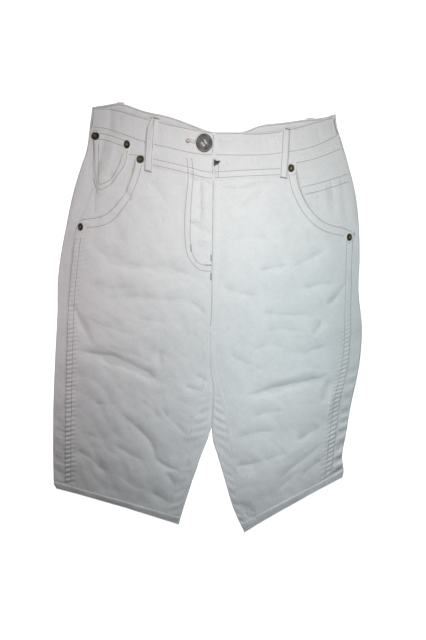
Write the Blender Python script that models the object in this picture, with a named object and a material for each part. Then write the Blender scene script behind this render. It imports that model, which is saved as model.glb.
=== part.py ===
# Denim bermuda shorts, laid flat on their back, with a fly zip, a waist button and six rivets.
# Tables and sizes are in millimetres: x runs to the wearer's left, y from the hems to the waist,
# z up from the floor. "right" and "left" are the wearer's own.

import math

import bpy

MM = 0.001

DENIM = 1.1            # one layer of stretch twill
BAND = 1.7             # waistband and belt loops' ends, two layers pressed
HEM = 1.5              # turned hem
AIR = 2.1              # between the back panels and the front ones
SEAM = 0.22            # each piece stops this far short of its seam line
LAY = 0.3              # between a piece and the one that lies on it
FRONT = DENIM + AIR    # underside of the front panels
BAND_FRONT = 3.4       # underside of the front waistband
FOLD = (FRONT + DENIM) / 2       # outer radius of a fold in a leg
BAND_FOLD = (BAND_FRONT + BAND) / 2

WAIST_Y = {"right": 265.0, "left": 255.0}    # waistband seam at the outer folds
CENTRE_WAIST_Y = 223.0
CROTCH_Y = -18.6
CROTCH_FOLD_Y = -14.0
HEM_SEAM = {"right": (-228.5, -279.5), "left": (-212.0, -289.0)}    # y at outer, inner fold
HEM_EDGE = {"right": ((-212.4, -239.2), (-41.3, -290.0)),
            "left": ((187.0, -223.8), (50.1, -300.7))}

# Lengthwise lines of each side, as x at a height: columns y, x.
OUTER_FOLD = {
    "right": [(297, -162.5), (269, -166.3), (235, -171.0), (211, -179.0), (172, -190.3), (128, -199.5),
              (96, -205.7), (53, -211.3), (11, -211.8), (-52, -214.9), (-94, -216.6), (-130, -217.7),
              (-205, -217.7), (-232, -217.0)],
    "left": [(286, 178.0), (267, 180.4), (250, 185.8), (219, 195.0), (179, 205.1), (150, 209.3),
             (86, 212.0), (39, 210.5), (-14, 215.2), (-52, 213.2), (-77, 209.6), (-117, 200.8),
             (-168, 191.9), (-193, 187.6), (-215, 189.8)],
}
SIDE_SEAM = {
    "right": [(266, -161.0), (214, -160.8), (190, -161.0), (165, -167.0), (140, -178.5), (118, -186.8),
              (82, -192.0), (26, -197.4), (-45, -199.8), (-167, -202.3), (-232, -202.3)],
    "left": [(266, 177.4), (250, 182.8), (219, 192.0), (179, 202.0), (150, 205.6), (126, 204.8),
             (100, 203.2), (15, 200.9), (-54, 198.0), (-93, 191.0), (-112, 186.2), (-142, 182.3),
             (-171, 178.4), (-200, 175.4), (-220, 172.5)],
}
CENTRE = [(265, 9.6), (223, 7.6), (193, 7.2), (74, 5.6), (-3, 4.1), (-18.6, 2.1), (-47, 1.4),
          (-70, 2.2), (-87, 4.9), (-101, 6.8), (-117, 6.5), (-154, 4.2)]
INNER_FOLD = {
    "right": [(-154, 4.2), (-171, -1.1), (-190, -8.7), (-210, -15.8), (-236, -24.8), (-280, -38.8)],
    "left": [(-154, 4.2), (-174, 6.3), (-191, 11.9), (-224, 21.7), (-266, 34.3), (-301, 50.1)],
}
INSEAM = {
    "right": [(-18.6, -0.8), (-75, -4.5), (-107, -9.5), (-150, -22.5), (-196, -35.5), (-236, -46.5),
              (-282, -59.0)],
    "left": [(-18.6, 5.0), (-59, 5.2), (-94, 11.6), (-115, 18.1), (-156, 26.5), (-200, 32.8),
             (-254, 42.0), (-292, 52.0)],
}

# Crosswise lines of the whole front, as y at a distance from the middle: columns x, y.
WAIST_TOP = [(-164, 294.5), (-133, 292.6), (-108, 285.4), (-74, 275.9), (-33, 267.0), (7, 260.4),
             (36, 259.6), (72, 258.9), (104, 262.9), (128, 268.2), (160, 277.6), (180, 282.8)]
WAIST_SEAM = [(-166, 265.2), (-144, 262.6), (-126, 256.9), (-91, 244.7), (-57, 236.1), (-7, 226.0),
              (11, 226.0), (44, 225.4), (72, 225.7), (102, 228.6), (143, 236.2), (166, 245.7),
              (185, 255.8)]
BACK_TOP = [(-165, 295.0), (-144, 298.3), (-128, 300.6), (-118, 299.4), (-91, 290.4), (-55, 282.3),
            (-23, 271.0), (2, 261.6), (27, 257.8), (50, 261.6), (72, 269.9), (104, 273.8),
            (140, 278.7), (158, 280.2), (178, 286.0)]
YOKE_SEAM = [(-104, 217.0), (-77, 211.3), (-55, 206.4), (-27, 199.6), (-3, 193.4), (14, 193.6),
             (41, 195.2), (72, 196.7), (102, 198.4), (128, 203.0)]
HIP_SEAM = {
    "right": [(-162, 232.2), (-151, 230.2), (-130, 228.5), (-99, 225.0)],
    "left": [(116, 213.0), (143, 218.6), (166, 226.2), (193, 237.8)],
}

# Scoop pocket openings from the yoke to the side seam, and the lines of the pieces behind:
# columns x, y.
SCOOP = {
    "right": [(-102.5, 219.5), (-109.1, 196.2), (-118.4, 174.0), (-130.3, 158.6), (-144.7, 145.6),
              (-155.0, 141.6), (-170.0, 139.8), (-178.0, 137.4), (-183.0, 131.0)],
    "left": [(123.0, 208.5), (127.6, 184.5), (134.8, 167.2), (144.0, 152.0), (158.6, 137.2),
             (173.5, 130.2), (189.2, 126.8), (197.0, 123.5), (203.8, 115.5)],
}
HIP_BAND_SEAM = [(130.0, 177.4), (157.0, 184.6), (201.5, 193.0)]
COIN_LEFT = [(-160.4, 260.0), (-160.2, 235.0), (-160.2, 205.0), (-158.8, 188.0), (-155.6, 175.8)]
COIN_RIGHT = [(-107.6, 246.6), (-110.8, 234.0), (-114.4, 213.0), (-127.7, 192.3), (-141.7, 179.1),
              (-152.6, 174.8)]

# The largest creases of the front, as soft troughs (-) and ridges (+) along a line.
# columns: side, x1, y1, x2, y2, half-width, depth
CREASES = [
    ("right", -178, -45, -112, -66, 11, -0.9), ("right", -112, -66, -66, -94, 11, -0.9),
    ("right", -150, -66, -92, -94, 12, 0.7), ("right", -176, 8, -132, -48, 12, -0.7),
    ("right", -118, -140, -80, -176, 13, -0.7), ("right", -80, -176, -38, -222, 12, -0.6),
    ("left", 54, -110, 118, -92, 11, -0.8), ("left", 118, -92, 172, -78, 11, -0.8),
    ("left", 168, -88, 154, -122, 9, -0.6), ("left", 164, -153, 136, -172, 11, -0.7),
    ("left", 70, -124, 140, -108, 13, 0.6),
]

# Shares of the way across the floor side of a back panel.
BACK_COLUMNS = (0.05, 0.11, 0.19, 0.285, 0.37, 0.48, 0.61, 0.75, 0.88)
FLY_BOTTOM_Y = 70.0
FLY_UNDERLAP_X = -10.0
BAND_UNDERLAP_X = -24.0
ZIP_PIVOT = (9.2, 216.6, 6.3)
# Outlines of the slider's block and of the pull's leaf, from the pivot.
ZIP_BODY = [(-6.8, -4.6), (-0.6, -4.6), (1.0, -1.5), (1.2, 3.4), (-0.4, 4.8), (-7.2, 4.8),
            (-8.4, 3.4), (-8.2, -1.5)]
ZIP_LEAF = [(0.95, -2.8), (2.6, -3.1), (6.6, 0.9), (7.4, 2.3), (7.0, 3.1), (5.8, 3.2),
            (0.95, 2.8)]
BUTTON_AT = (-5.7, 244.2)
BUTTON_RADIUS = 12.2
BUTTONHOLE = (-29.0, -4.0, 1.3)      # x from, x to, half-height
RIVET_RADIUS = 5.5
RIVETS = [(-158.0, 254.0), (-114.2, 242.4), (-95.4, 221.8), (-179.0, 127.2), (115.6, 209.2),
          (197.2, 112.6)]
# columns: side, centre x at the top, top y, centre x at the bottom, bottom y
FRONT_LOOPS = [("right", -80.4, 280.2, -84.6, 203.2), ("left", 109.4, 265.4, 105.6, 194.0)]
BACK_LOOPS = [("right", -123.5, 302.2, 251.0), ("left", 142.8, 280.8, 232.0)]
LOOP_WIDTH = 10.8

COLOURS = {             # base colour, roughness, metallic
    "denim": ((0.72, 0.72, 0.72), 0.9, 0.0),
    "bronze": ((0.06, 0.045, 0.03), 0.45, 0.9),
    "horn": ((0.11, 0.1, 0.095), 0.4, 0.3),
    "gunmetal": ((0.05, 0.06, 0.06), 0.35, 0.9),
    "tape": ((0.6, 0.6, 0.6), 0.85, 0.0),
}


def ease(start, end, value):
    """Rise smoothly from 0 at start to 1 at end."""
    t = min(max((value - start) / (end - start), 0.0), 1.0)
    return t * t * (3 - 2 * t)


def read(table, at):
    """Value of a smooth line through a table's points, at one key."""
    points = sorted(table)
    at = min(max(at, points[0][0]), points[-1][0])
    slopes = [(b[1] - a[1]) / (b[0] - a[0]) for a, b in zip(points, points[1:])]
    for i, (a, b) in enumerate(zip(points, points[1:])):
        if at <= b[0]:
            width = b[0] - a[0]
            t = (at - a[0]) / width
            before = (slopes[i - 1] + slopes[i]) / 2 if i else slopes[i]
            after = (slopes[i] + slopes[i + 1]) / 2 if i + 1 < len(slopes) else slopes[i]
            return ((1 + 2 * t) * (1 - t) ** 2 * a[1] + t * (1 - t) ** 2 * width * before
                    + t * t * (3 - 2 * t) * b[1] - t * t * (1 - t) * width * after)
    return points[-1][1]


def walk(points, count):
    """Even steps along a smooth curve through points in the plane."""
    reach = [0.0]
    for a, b in zip(points, points[1:]):
        reach.append(reach[-1] + math.dist(a, b))
    across = [(s, p[0]) for s, p in zip(reach, points)]
    up = [(s, p[1]) for s, p in zip(reach, points)]
    stations = [reach[-1] * i / count for i in range(count + 1)]
    return [(read(across, s), read(up, s)) for s in stations]


def nearest(points, x, y):
    """Distance to a line of points, positive on its left-hand side."""
    best, side = 1e9, 1.0
    for (ax, ay), (bx, by) in zip(points, points[1:]):
        dx, dy = bx - ax, by - ay
        t = min(max(((x - ax) * dx + (y - ay) * dy) / (dx * dx + dy * dy), 0.0), 1.0)
        gap = math.hypot(x - ax - t * dx, y - ay - t * dy)
        if gap < best:
            best, side = gap, 1.0 if dx * (y - ay) - dy * (x - ax) >= 0 else -1.0
    return best * side


def outward(side):
    return -1.0 if side == "right" else 1.0


def inner_x(side, y):
    """Centre seam, or below the split the inner fold of this leg."""
    return read(CENTRE if y > -154 else INNER_FOLD[side], y)


def inseam_x(side, y):
    line = read(INSEAM[side], y)
    limit = inner_x(side, y) + outward(side) * (FOLD + 0.9)
    return min(line, limit) if side == "right" else max(line, limit)


def seam_x(side, y):
    limit = read(OUTER_FOLD[side], y) - outward(side) * (FOLD + 0.7)
    line = read(SIDE_SEAM[side], y)
    return max(line, limit) if side == "right" else min(line, limit)


def crease(side, x, y):
    height = 0.0
    for which, x1, y1, x2, y2, wide, depth in CREASES:
        if which == side:
            height += depth * math.exp(-(nearest([(x1, y1), (x2, y2)], x, y) / wide) ** 2)
    return height


def front_base(side, x, y):
    """Underside of the front: it rises at the scoop, and the right fly laps over the left."""
    base = FRONT + 0.6 * ease(25, 0, abs(nearest(SCOOP[side], x, y))) + crease(side, x, y)
    zip_rise = ease(200, 212, y)
    along = ease(36, 66, y)
    if side == "right":
        return base + (0.8 + 1.1 * zip_rise) * ease(-40, -8, x) * along
    return base - (1.3 + 0.5 * zip_rise) * ease(34, 13, x) * along


def facing_base(side, x, y):
    """Underside of a pocket facing: level with the yoke at its top, under the front panel at the scoop."""
    hip_side = nearest(SCOOP[side], x, y) * outward(side)
    low = FRONT - 0.8 * ease(28, 0, hip_side) + 0.04 * min(hip_side, 0.0)
    near_yoke = ease(20, 0, read(HIP_SEAM[side], x) - y) * ease(-1, 0.4, hip_side)
    return low + (front_base(side, x, y) - low) * near_yoke


def band_base(side, x, y):
    if side == "right":
        return BAND_FRONT + 0.6 * ease(-46, -16, x)
    return BAND_FRONT - 1.4 * ease(32, 12, x)


def back_lift(x, y):
    """How far the back of the shorts rides up over the two back belt loops."""
    lift = 0.0
    for _, loop_x, top, bottom in BACK_LOOPS:
        beside = ease(20, 7, abs(x - loop_x))
        lift = max(lift, (DENIM + LAY + 0.1) * beside * ease(bottom - 22, bottom - 8, y))
    return lift


def material(name, kind):
    colour, roughness, metallic = COLOURS[kind]
    made = bpy.data.materials.new(name)
    made.use_nodes = True
    shader = made.node_tree.nodes["Principled BSDF"]
    shader.inputs["Base Color"].default_value = (*colour, 1.0)
    shader.inputs["Roughness"].default_value = roughness
    shader.inputs["Metallic"].default_value = metallic
    return made


def add_object(name, points, faces, kind):
    mesh = bpy.data.meshes.new(name)
    mesh.from_pydata([(x * MM, y * MM, z * MM) for x, y, z in points], [], faces)
    mesh.validate()
    made = bpy.data.objects.new(name, mesh)
    made.data.materials.append(material(name, kind))
    bpy.context.scene.collection.objects.link(made)
    return made


def cloth(name, grid, thickness, kind="denim", ring=False):
    """A wall of even thickness about a grid of points, None where the sheet has no cloth."""
    index, points = {}, []
    for i, row in enumerate(grid):
        for j, point in enumerate(row):
            if point is not None:
                index[i, j] = len(points)
                points.append(point)
    faces = []
    columns = len(grid[0])
    for i in range(len(grid) - 1):
        for j in range(columns if ring else columns - 1):
            corners = [(i, j), (i + 1, j), (i + 1, (j + 1) % columns), (i, (j + 1) % columns)]
            if all(corner in index for corner in corners):
                faces.append([index[corner] for corner in corners])
    sheet = add_object(name, points, faces, kind)
    wall = sheet.modifiers.new("wall", "SOLIDIFY")
    wall.thickness = thickness * MM
    wall.offset = 0.0
    wall.use_even_offset = True
    wall.use_rim = True
    return sheet


def between(first, second, steps):
    """Rows of points from each point of one line to its partner on the other."""
    rows = []
    for a, b in zip(first, second):
        dx, dy = (b[0] - a[0]) / steps, (b[1] - a[1]) / steps
        rows.append([(a[0] + dx * j, a[1] + dy * j) for j in range(steps + 1)])
    return rows


def raised(rows, base, thickness):
    """Give each point of a flat grid its height at mid-thickness."""
    return [[(x, y, base(x, y) + thickness / 2) for x, y in row] for row in rows]


def leg_row(side, along):
    """Ends of a leg's crosswise row; along is 0 at the waist, 1 at the crotch, 2 at the hem."""
    hem_outer, hem_inner = HEM_SEAM[side]
    if along <= 1:
        outer_y = WAIST_Y[side] + (CROTCH_FOLD_Y - WAIST_Y[side]) * along
        inner_y = CENTRE_WAIST_Y + (CROTCH_Y - CENTRE_WAIST_Y) * along
    else:
        outer_y = CROTCH_FOLD_Y + (hem_outer - CROTCH_FOLD_Y) * (along - 1)
        inner_y = CROTCH_Y + (hem_inner - CROTCH_Y) * (along - 1)
    fold = (read(OUTER_FOLD[side], outer_y), outer_y)
    inner = (inner_x(side, inner_y), inner_y)
    return fold, inner


def on_row(fold, inner, line):
    """Distance from the fold, along a row, to a lengthwise line."""
    length = math.dist(fold, inner)
    share = 0.1
    for _ in range(8):
        y = fold[1] + (inner[1] - fold[1]) * share
        share = (line(y) - fold[0]) / (inner[0] - fold[0])
    return share * length


def row_points(fold, inner, path):
    """Turn (distance from the fold, height) pairs into points above a row."""
    length = math.dist(fold, inner)
    dx, dy = (inner[0] - fold[0]) / length, (inner[1] - fold[1]) / length
    return [None if step is None else (fold[0] + dx * step[0], fold[1] + dy * step[0], step[1])
            for step in path]


def turn(centre, outside, radius, top, bottom, steps=5):
    """Half of a flattened fold, top to bottom; outside is -1 at the outer fold, 1 at the inner."""
    middle = (top + bottom) / 2
    arc = []
    for k in range(steps + 1):
        angle = math.pi * k / steps
        reach = centre + outside * radius * math.sin(angle)
        arc.append((reach, middle + (top - middle) * math.cos(angle)))
    return arc


def leg_stations():
    upper = [0.0, 0.035, 0.08, 0.13, 0.18, 0.23, 0.28, 0.33, 0.38, 0.43, 0.48, 0.53, 0.61, 0.7,
             0.8, 0.9, 0.975]
    lower = [1.0 + i / 12 for i in range(13)]
    return upper + lower


def waist_bow(side, x):
    """How far the waist seam stands off the straight line between its ends."""
    fold, inner = leg_row(side, 0.0)
    share = (x - fold[0]) / (inner[0] - fold[0])
    return read(WAIST_SEAM, x) - SEAM - fold[1] - (inner[1] - fold[1]) * share


def back_panel(side):
    """Flat on the floor, round the outer fold to the side seam, and down the leg to the inseam."""
    middle = DENIM / 2
    radius = FOLD - middle
    grid = []
    for along in leg_stations():
        fold, inner = leg_row(side, along)
        length = math.dist(fold, inner)
        seam = on_row(fold, inner, lambda y: seam_x(side, y)) - SEAM

        def top_at(distance):
            x = fold[0] + (inner[0] - fold[0]) * distance / length
            y = fold[1] + (inner[1] - fold[1]) * distance / length
            return front_base(side, x, y) + middle

        path = [(seam, top_at(seam)), ((seam + FOLD) / 2, top_at((seam + FOLD) / 2))]
        path += turn(FOLD, -1, radius, top_at(FOLD), middle)
        if along >= 1:
            end = length - SEAM
            inseam = on_row(fold, inner, lambda y: inseam_x(side, y)) + SEAM
            turned = turn(end - FOLD, 1, radius, top_at(end - FOLD), middle)
            path += [(FOLD + (end - 2 * FOLD) * share, middle) for share in BACK_COLUMNS]
            path += list(reversed(turned))
            path.append((inseam, top_at(inseam)))
        else:
            end = length - SEAM
            path += [(FOLD + (end - FOLD) * share, middle) for share in (*BACK_COLUMNS, 1.0)]
            path += [None] * 6
        row = []
        for point in row_points(fold, inner, path):
            if point is not None and along < 1:
                x, y, z = point
                y += waist_bow(side, x) * ease(0.3, 0.0, along)
                point = (x, y, z + (back_lift(x, y) if z < FOLD else 0.0))
            row.append(point)
        grid.append(row)
    return cloth("back_panel_" + side, grid, DENIM)


def at_seam(side, line, above):
    """Where a crosswise line, moved up by above, meets the side seam."""
    x = SIDE_SEAM[side][2][1]
    for _ in range(12):
        y = read(line, x) + above
        x = seam_x(side, y) - outward(side) * SEAM
    return x, read(line, x) + above


def front_panel(side):
    """From the yoke seam and the scoop down to the hem, between the side seam and the centre or inseam."""
    scoop = walk(SCOOP[side], 9)
    scoop = [(x - outward(side) * SEAM, y) for x, y in scoop]
    scoop[-1] = (seam_x(side, scoop[-1][1]) - outward(side) * SEAM, scoop[-1][1])
    lap = FLY_UNDERLAP_X if side == "left" else None

    def inner_edge(y):
        if y < CROTCH_Y:
            return inseam_x(side, y) + outward(side) * SEAM
        edge = read(CENTRE, y) + outward(side) * SEAM
        return edge + (lap - edge) * ease(FLY_BOTTOM_Y + 4, FLY_BOTTOM_Y + 10, y) if lap else edge

    outer, inside = [], []
    start_y, end_y = read(YOKE_SEAM, 7.0) - 2 * SEAM, 104.0
    for k, point in enumerate(scoop):
        y = start_y + (end_y - start_y) * k / len(scoop)
        outer.append(point)
        inside.append((inner_edge(y), y))
    inside[0] = (inside[0][0], read(YOKE_SEAM, inside[0][0]) - 2 * SEAM)
    lower = [s for s in leg_stations() if s > 0.5]
    for along in lower[:3] + [0.82, 0.88, 0.94] + lower[5:] if side == "left" else lower:
        fold, inner = leg_row(side, along)
        length = math.dist(fold, inner)
        dx, dy = (inner[0] - fold[0]) / length, (inner[1] - fold[1]) / length
        seam = on_row(fold, inner, lambda y: seam_x(side, y)) + SEAM
        end = length - SEAM
        if along >= 1:
            end = on_row(fold, inner, lambda y: inseam_x(side, y)) - SEAM
        outer.append((fold[0] + dx * seam, fold[1] + dy * seam))
        x, y = fold[0] + dx * end, fold[1] + dy * end
        inside.append((inner_edge(y) if along < 1 else x, y))
    rows = between(outer, inside, 13)
    first = [(x, read(YOKE_SEAM, x) - 2 * SEAM) for x, y in rows[0]]
    rows[0] = first
    grid = raised(rows, lambda x, y: front_base(side, x, y), DENIM)
    return cloth("front_panel_" + side, grid, DENIM)


def yoke(side):
    """The band below the waistband; its lower edge steps up where the scoop begins."""
    step_x = SCOOP[side][0][0]
    seam_end = seam_x(side, 240.0) - outward(side) * SEAM
    if side == "right":
        fly = read(CENTRE, 205.0) - SEAM
        xs = [seam_end, -150, -138, -126, -114, step_x - 0.6, step_x + 0.6, -88, -74, -60, -46,
              -34, -22, -12, -2, fly]
    else:
        seam_end -= 2.0
        xs = [FLY_UNDERLAP_X, 0, 8, 16, 26, 40, 56, 72, 88, 104, step_x - 0.6, step_x + 0.6,
              136, 150, 164, 178, seam_end]
    top = [(x, read(WAIST_SEAM, x) - SEAM) for x in xs]
    bottom = []
    for x in xs:
        at_hip = (x - step_x) * outward(side) > 0
        bottom.append((x, read(HIP_SEAM[side] if at_hip else YOKE_SEAM, x) + SEAM))
    outer = 0 if side == "right" else -1
    top[outer] = at_seam(side, WAIST_SEAM, -SEAM)
    bottom[outer] = at_seam(side, HIP_SEAM[side], SEAM)
    grid = raised(between(top, bottom, 3), lambda x, y: front_base(side, x, y), DENIM)
    return cloth("yoke_" + side, grid, DENIM)


def hip_facing(side):
    """Behind the scoop, from the hip seam down; most of its inner edge runs on under the front panel."""
    top = HIP_SEAM[side] if side == "right" else HIP_BAND_SEAM
    steps = 9
    scoop = walk(SCOOP[side], 4 * steps)
    start = next(i for i, (x, y) in enumerate(scoop) if y < read(top, x) - 0.5)
    inside = []
    for k in range(steps + 1):
        i = start + (4 * steps - 3 - start) * k // steps
        (x, y), (x2, y2) = scoop[i], scoop[i + 1]
        length = math.dist((x, y), (x2, y2))
        deep = -0.6 + 11.0 * ease(0.12, 0.4, k / steps) * ease(1.15, 0.8, k / steps)
        if side == "left":
            deep = 0.6 + 9.8 * ease(0.0, 0.3, k / steps) * ease(1.15, 0.8, k / steps)
        deep *= outward(side)
        inside.append((x + (y2 - y) / length * deep, y - (x2 - x) / length * deep))
    inside[0] = (inside[0][0], read(top, inside[0][0]) - SEAM)
    top_y = at_seam(side, top, -SEAM)[1]
    bottom_y = SCOOP[side][-1][1] + 4.0
    outer = []
    for k in range(steps + 1):
        y = top_y + (bottom_y - top_y) * k / steps
        outer.append((seam_x(side, y) - outward(side) * SEAM, y))
    rows = between(outer, inside, 6)
    rows[0] = [(x, read(top, x) - SEAM) for x, y in rows[0]]
    grid = raised(rows, lambda x, y: facing_base(side, x, y), DENIM)
    return cloth("hip_facing_" + side, grid, DENIM)


def hip_band():
    """The upper part of the left facing, down to its double-stitched seam."""
    xs = [SCOOP["left"][0][0] + 0.9, 136, 150, 164, 178, 195]
    top = [(x, read(HIP_SEAM["left"], x) - SEAM) for x in xs]
    bottom = [(x, read(HIP_BAND_SEAM, x) + SEAM) for x in xs]
    scoop = walk(SCOOP["left"], 40)
    low = next((x, y) for x, y in scoop if y < read(HIP_BAND_SEAM, x) + 1.5)
    bottom[0] = (low[0] + 0.9, read(HIP_BAND_SEAM, low[0]) + SEAM)
    top[-1] = at_seam("left", HIP_SEAM["left"], -SEAM)
    bottom[-1] = at_seam("left", HIP_BAND_SEAM, SEAM)
    rows = between(top, bottom, 5)
    for row_index in range(6):
        if 0 < row_index < 5:
            y = rows[-1][row_index][1]
            rows[-1][row_index] = (seam_x("left", y) - SEAM, y)
        x, y = rows[0][row_index]
        edge = min(scoop, key=lambda p: abs(p[1] - y))
        rows[0][row_index] = (edge[0] + 0.9, y)
    grid = raised(rows, lambda x, y: facing_base("left", x, y), DENIM)
    return cloth("hip_band_left", grid, DENIM)


def coin_pocket():
    """Laid on the right yoke and facing, just under the waistband."""
    def on_hip(x, y):
        at_yoke = ease(-6, 4, y - read(HIP_SEAM["right"], x))
        low, high = facing_base("right", x, y), front_base("right", x, y)
        return max(low, low + (high - low) * at_yoke) + DENIM + LAY + 0.15

    rows = between(walk(COIN_LEFT, 9), walk(COIN_RIGHT, 9), 7)
    rows[0] = [(x, read(WAIST_SEAM, x) - 3.0) for x, y in rows[0]]
    return cloth("coin_pocket", raised(rows, on_hip, DENIM), DENIM)


def waistband(side):
    if side == "right":
        xs = [-163, -150, -137, -123, -109, -95, -80, -66, -52, -40, -30, -20, -10, 0, 8]
    else:
        xs = [BAND_UNDERLAP_X, -14, -4, 6, 14, 22, 30, 44, 58, 72, 86, 100, 114, 128, 142, 154,
              166, 177]
    top = [(x, read(WAIST_TOP, x)) for x in xs]
    bottom = [(x, read(WAIST_SEAM, x) + SEAM) for x in xs]
    outer = 0 if side == "right" else -1
    rows = between(top, bottom, 3)
    for j, (x, y) in enumerate(rows[outer]):
        x = read(OUTER_FOLD[side], y) - outward(side) * (BAND_FOLD + 5 * SEAM)
        y += (read(WAIST_SEAM, x) + SEAM - y) if j == 3 else 0.0
        rows[outer][j] = (x, y)
    if side == "right":
        for j, (x, y) in enumerate(rows[-1]):
            rows[-1][j] = (read(CENTRE, y), y)
    grid = raised(rows, lambda x, y: band_base(side, x, y), BAND)
    band = cloth("waistband_" + side, grid, BAND)
    if side == "right":
        start_x, end_x, half = BUTTONHOLE
        slot = box_tool("buttonhole_tool", (start_x, 247.8), (end_x, 244.0), half, 3.0, 9.0)
        cut(band, slot, "DIFFERENCE")
    return band


def waistband_back():
    """Flat on the floor behind the front waistband, turned up at both folds to meet it."""
    middle = BAND / 2
    radius = BAND_FOLD - middle
    grid = []
    for level in range(4):
        share = level / 3
        y_right = 295.0 + (WAIST_Y["right"] + SEAM - 295.0) * share
        y_left = 285.0 + (WAIST_Y["left"] + SEAM - 285.0) * share
        left_x, right_x = read(OUTER_FOLD["left"], y_left), read(OUTER_FOLD["right"], y_right)
        near = turn(right_x + BAND_FOLD, -1, radius, BAND_FRONT + middle, middle)
        row = [(x, y_right, z) for x, z in near]
        for k in range(1, 24):
            x = right_x + BAND_FOLD + (left_x - right_x - 2 * BAND_FOLD) * k / 24
            top, bottom = read(BACK_TOP, x), read(WAIST_SEAM, x) + 2.5 * SEAM
            y = top + (bottom - top) * share
            row.append((x, y, middle + back_lift(x, y)))
        far = turn(left_x - BAND_FOLD, 1, radius, BAND_FRONT + middle, middle)
        row += [(x, y_left, z) for x, z in reversed(far)]
        grid.append(row)
    return cloth("waistband_back", grid, BAND)


def hem(side):
    """A flattened ring round the bottom of a leg."""
    middle = HEM / 2 + 0.03
    top = FRONT + DENIM + 0.2 - HEM
    radius = FOLD + 0.1 - HEM / 2
    start = leg_row(side, 2.0)
    end = HEM_EDGE[side]
    grid = []
    for share in (0.035, 0.5, 1.0):
        fold = tuple(a + (b - a) * share for a, b in zip(start[0], end[0]))
        inner = tuple(a + (b - a) * share for a, b in zip(start[1], end[1]))
        length = math.dist(fold, inner)
        path = list(turn(FOLD + 0.1, -1, radius, top + middle, middle))
        path += [(FOLD + (length - 2 * FOLD) * k / 8, middle) for k in range(1, 8)]
        path += list(reversed(turn(length - FOLD - 0.1, 1, radius, top + middle, middle)))
        path += [(FOLD + (length - 2 * FOLD) * k / 8, top + middle) for k in range(7, 0, -1)]
        row = row_points(fold, inner, path)
        bow = 1.5 * share
        grid.append([(x, y + bow * 4 * (s / length) * (1 - s / length), z)
                     for (x, y, z), (s, _) in zip(row, path)])
    return cloth("hem_" + side, grid, HEM, ring=True)


def belt_loop_front(side, top_x, top_y, bottom_x, bottom_y):
    """Tacked at both ends and standing a little proud between them."""
    grid = []
    steps = 10
    for k in range(steps + 1):
        share = k / steps
        y = top_y + (bottom_y - top_y) * share
        centre = top_x + (bottom_x - top_x) * share
        band_top = band_base(side, centre, y) + BAND
        yoke_top = front_base(side, centre, y) + DENIM
        on_band = ease(-8, 2, y - read(WAIST_SEAM, centre))
        under = yoke_top + (band_top - yoke_top) * on_band
        rise = 1.9 * math.sin(math.pi * share) ** 0.7 if 0 < k < steps else 0.0
        z = under + LAY + 0.1 + rise + DENIM / 2
        grid.append([(centre + LOOP_WIDTH * (c - 0.5), y, z + (0.3 if c in (0, 1) else 0.0))
                     for c in (0, 0.5, 1)])
    return cloth("belt_loop_front_" + side, grid, DENIM)


def belt_loop_back(side, x, top, bottom):
    grid = [[(x + LOOP_WIDTH * (c - 0.5), top + (bottom - top) * k / 6, DENIM / 2) for c in (0, 0.5, 1)]
            for k in range(7)]
    return cloth("belt_loop_back_" + side, grid, DENIM)


def turned(name, profile, at, kind, segments=24):
    """A solid of revolution about a vertical axis; profile is (radius, height), bottom to top."""
    points = [(at[0], at[1], at[2] + profile[0][1])]
    rings = profile[1:-1]
    for radius, height in rings:
        for k in range(segments):
            angle = 2 * math.pi * k / segments
            x, y = at[0] + radius * math.cos(angle), at[1] + radius * math.sin(angle)
            points.append((x, y, at[2] + height))
    points.append((at[0], at[1], at[2] + profile[-1][1]))
    last = len(points) - 1
    top_ring = 1 + (len(rings) - 1) * segments
    faces = []
    for k in range(segments):
        after = (k + 1) % segments
        faces.append([0, 1 + after, 1 + k])
        for ring in range(len(rings) - 1):
            low, high = 1 + ring * segments, 1 + (ring + 1) * segments
            faces.append([low + k, low + after, high + after, high + k])
        faces.append([last, top_ring + k, top_ring + after])
    made = add_object(name, points, faces, kind)
    made.data.shade_smooth()
    made.data.set_sharp_from_angle(angle=math.radians(35))
    return made


def box_tool(name, start, end, half, low, high):
    """A hidden cutter along a line in the plane, from height low to high."""
    length = math.dist(start, end)
    dx, dy = (end[0] - start[0]) / length * half, (end[1] - start[1]) / length * half
    corners = [(start[0] - dy, start[1] + dx), (start[0] + dy, start[1] - dx),
               (end[0] + dy, end[1] - dx), (end[0] - dy, end[1] + dx)]
    return plate(name, corners, low, high, "denim", tool=True)


def cut(target, tool, operation):
    step = target.modifiers.new(operation.lower(), "BOOLEAN")
    step.operation = operation
    step.object = tool
    step.solver = "EXACT"


def plate(name, outline, low, high, kind, tool=False):
    """A flat outline, anticlockwise from above, given a height."""
    count = len(outline)
    points = [(x, y, low) for x, y in outline] + [(x, y, high) for x, y in outline]
    faces = [list(reversed(range(count))), list(range(count, 2 * count))]
    faces += [[i, (i + 1) % count, count + (i + 1) % count, count + i] for i in range(count)]
    made = add_object(name, points, faces, kind)
    made.hide_render = tool
    if tool:
        made.display_type = "WIRE"
    return made


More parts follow.
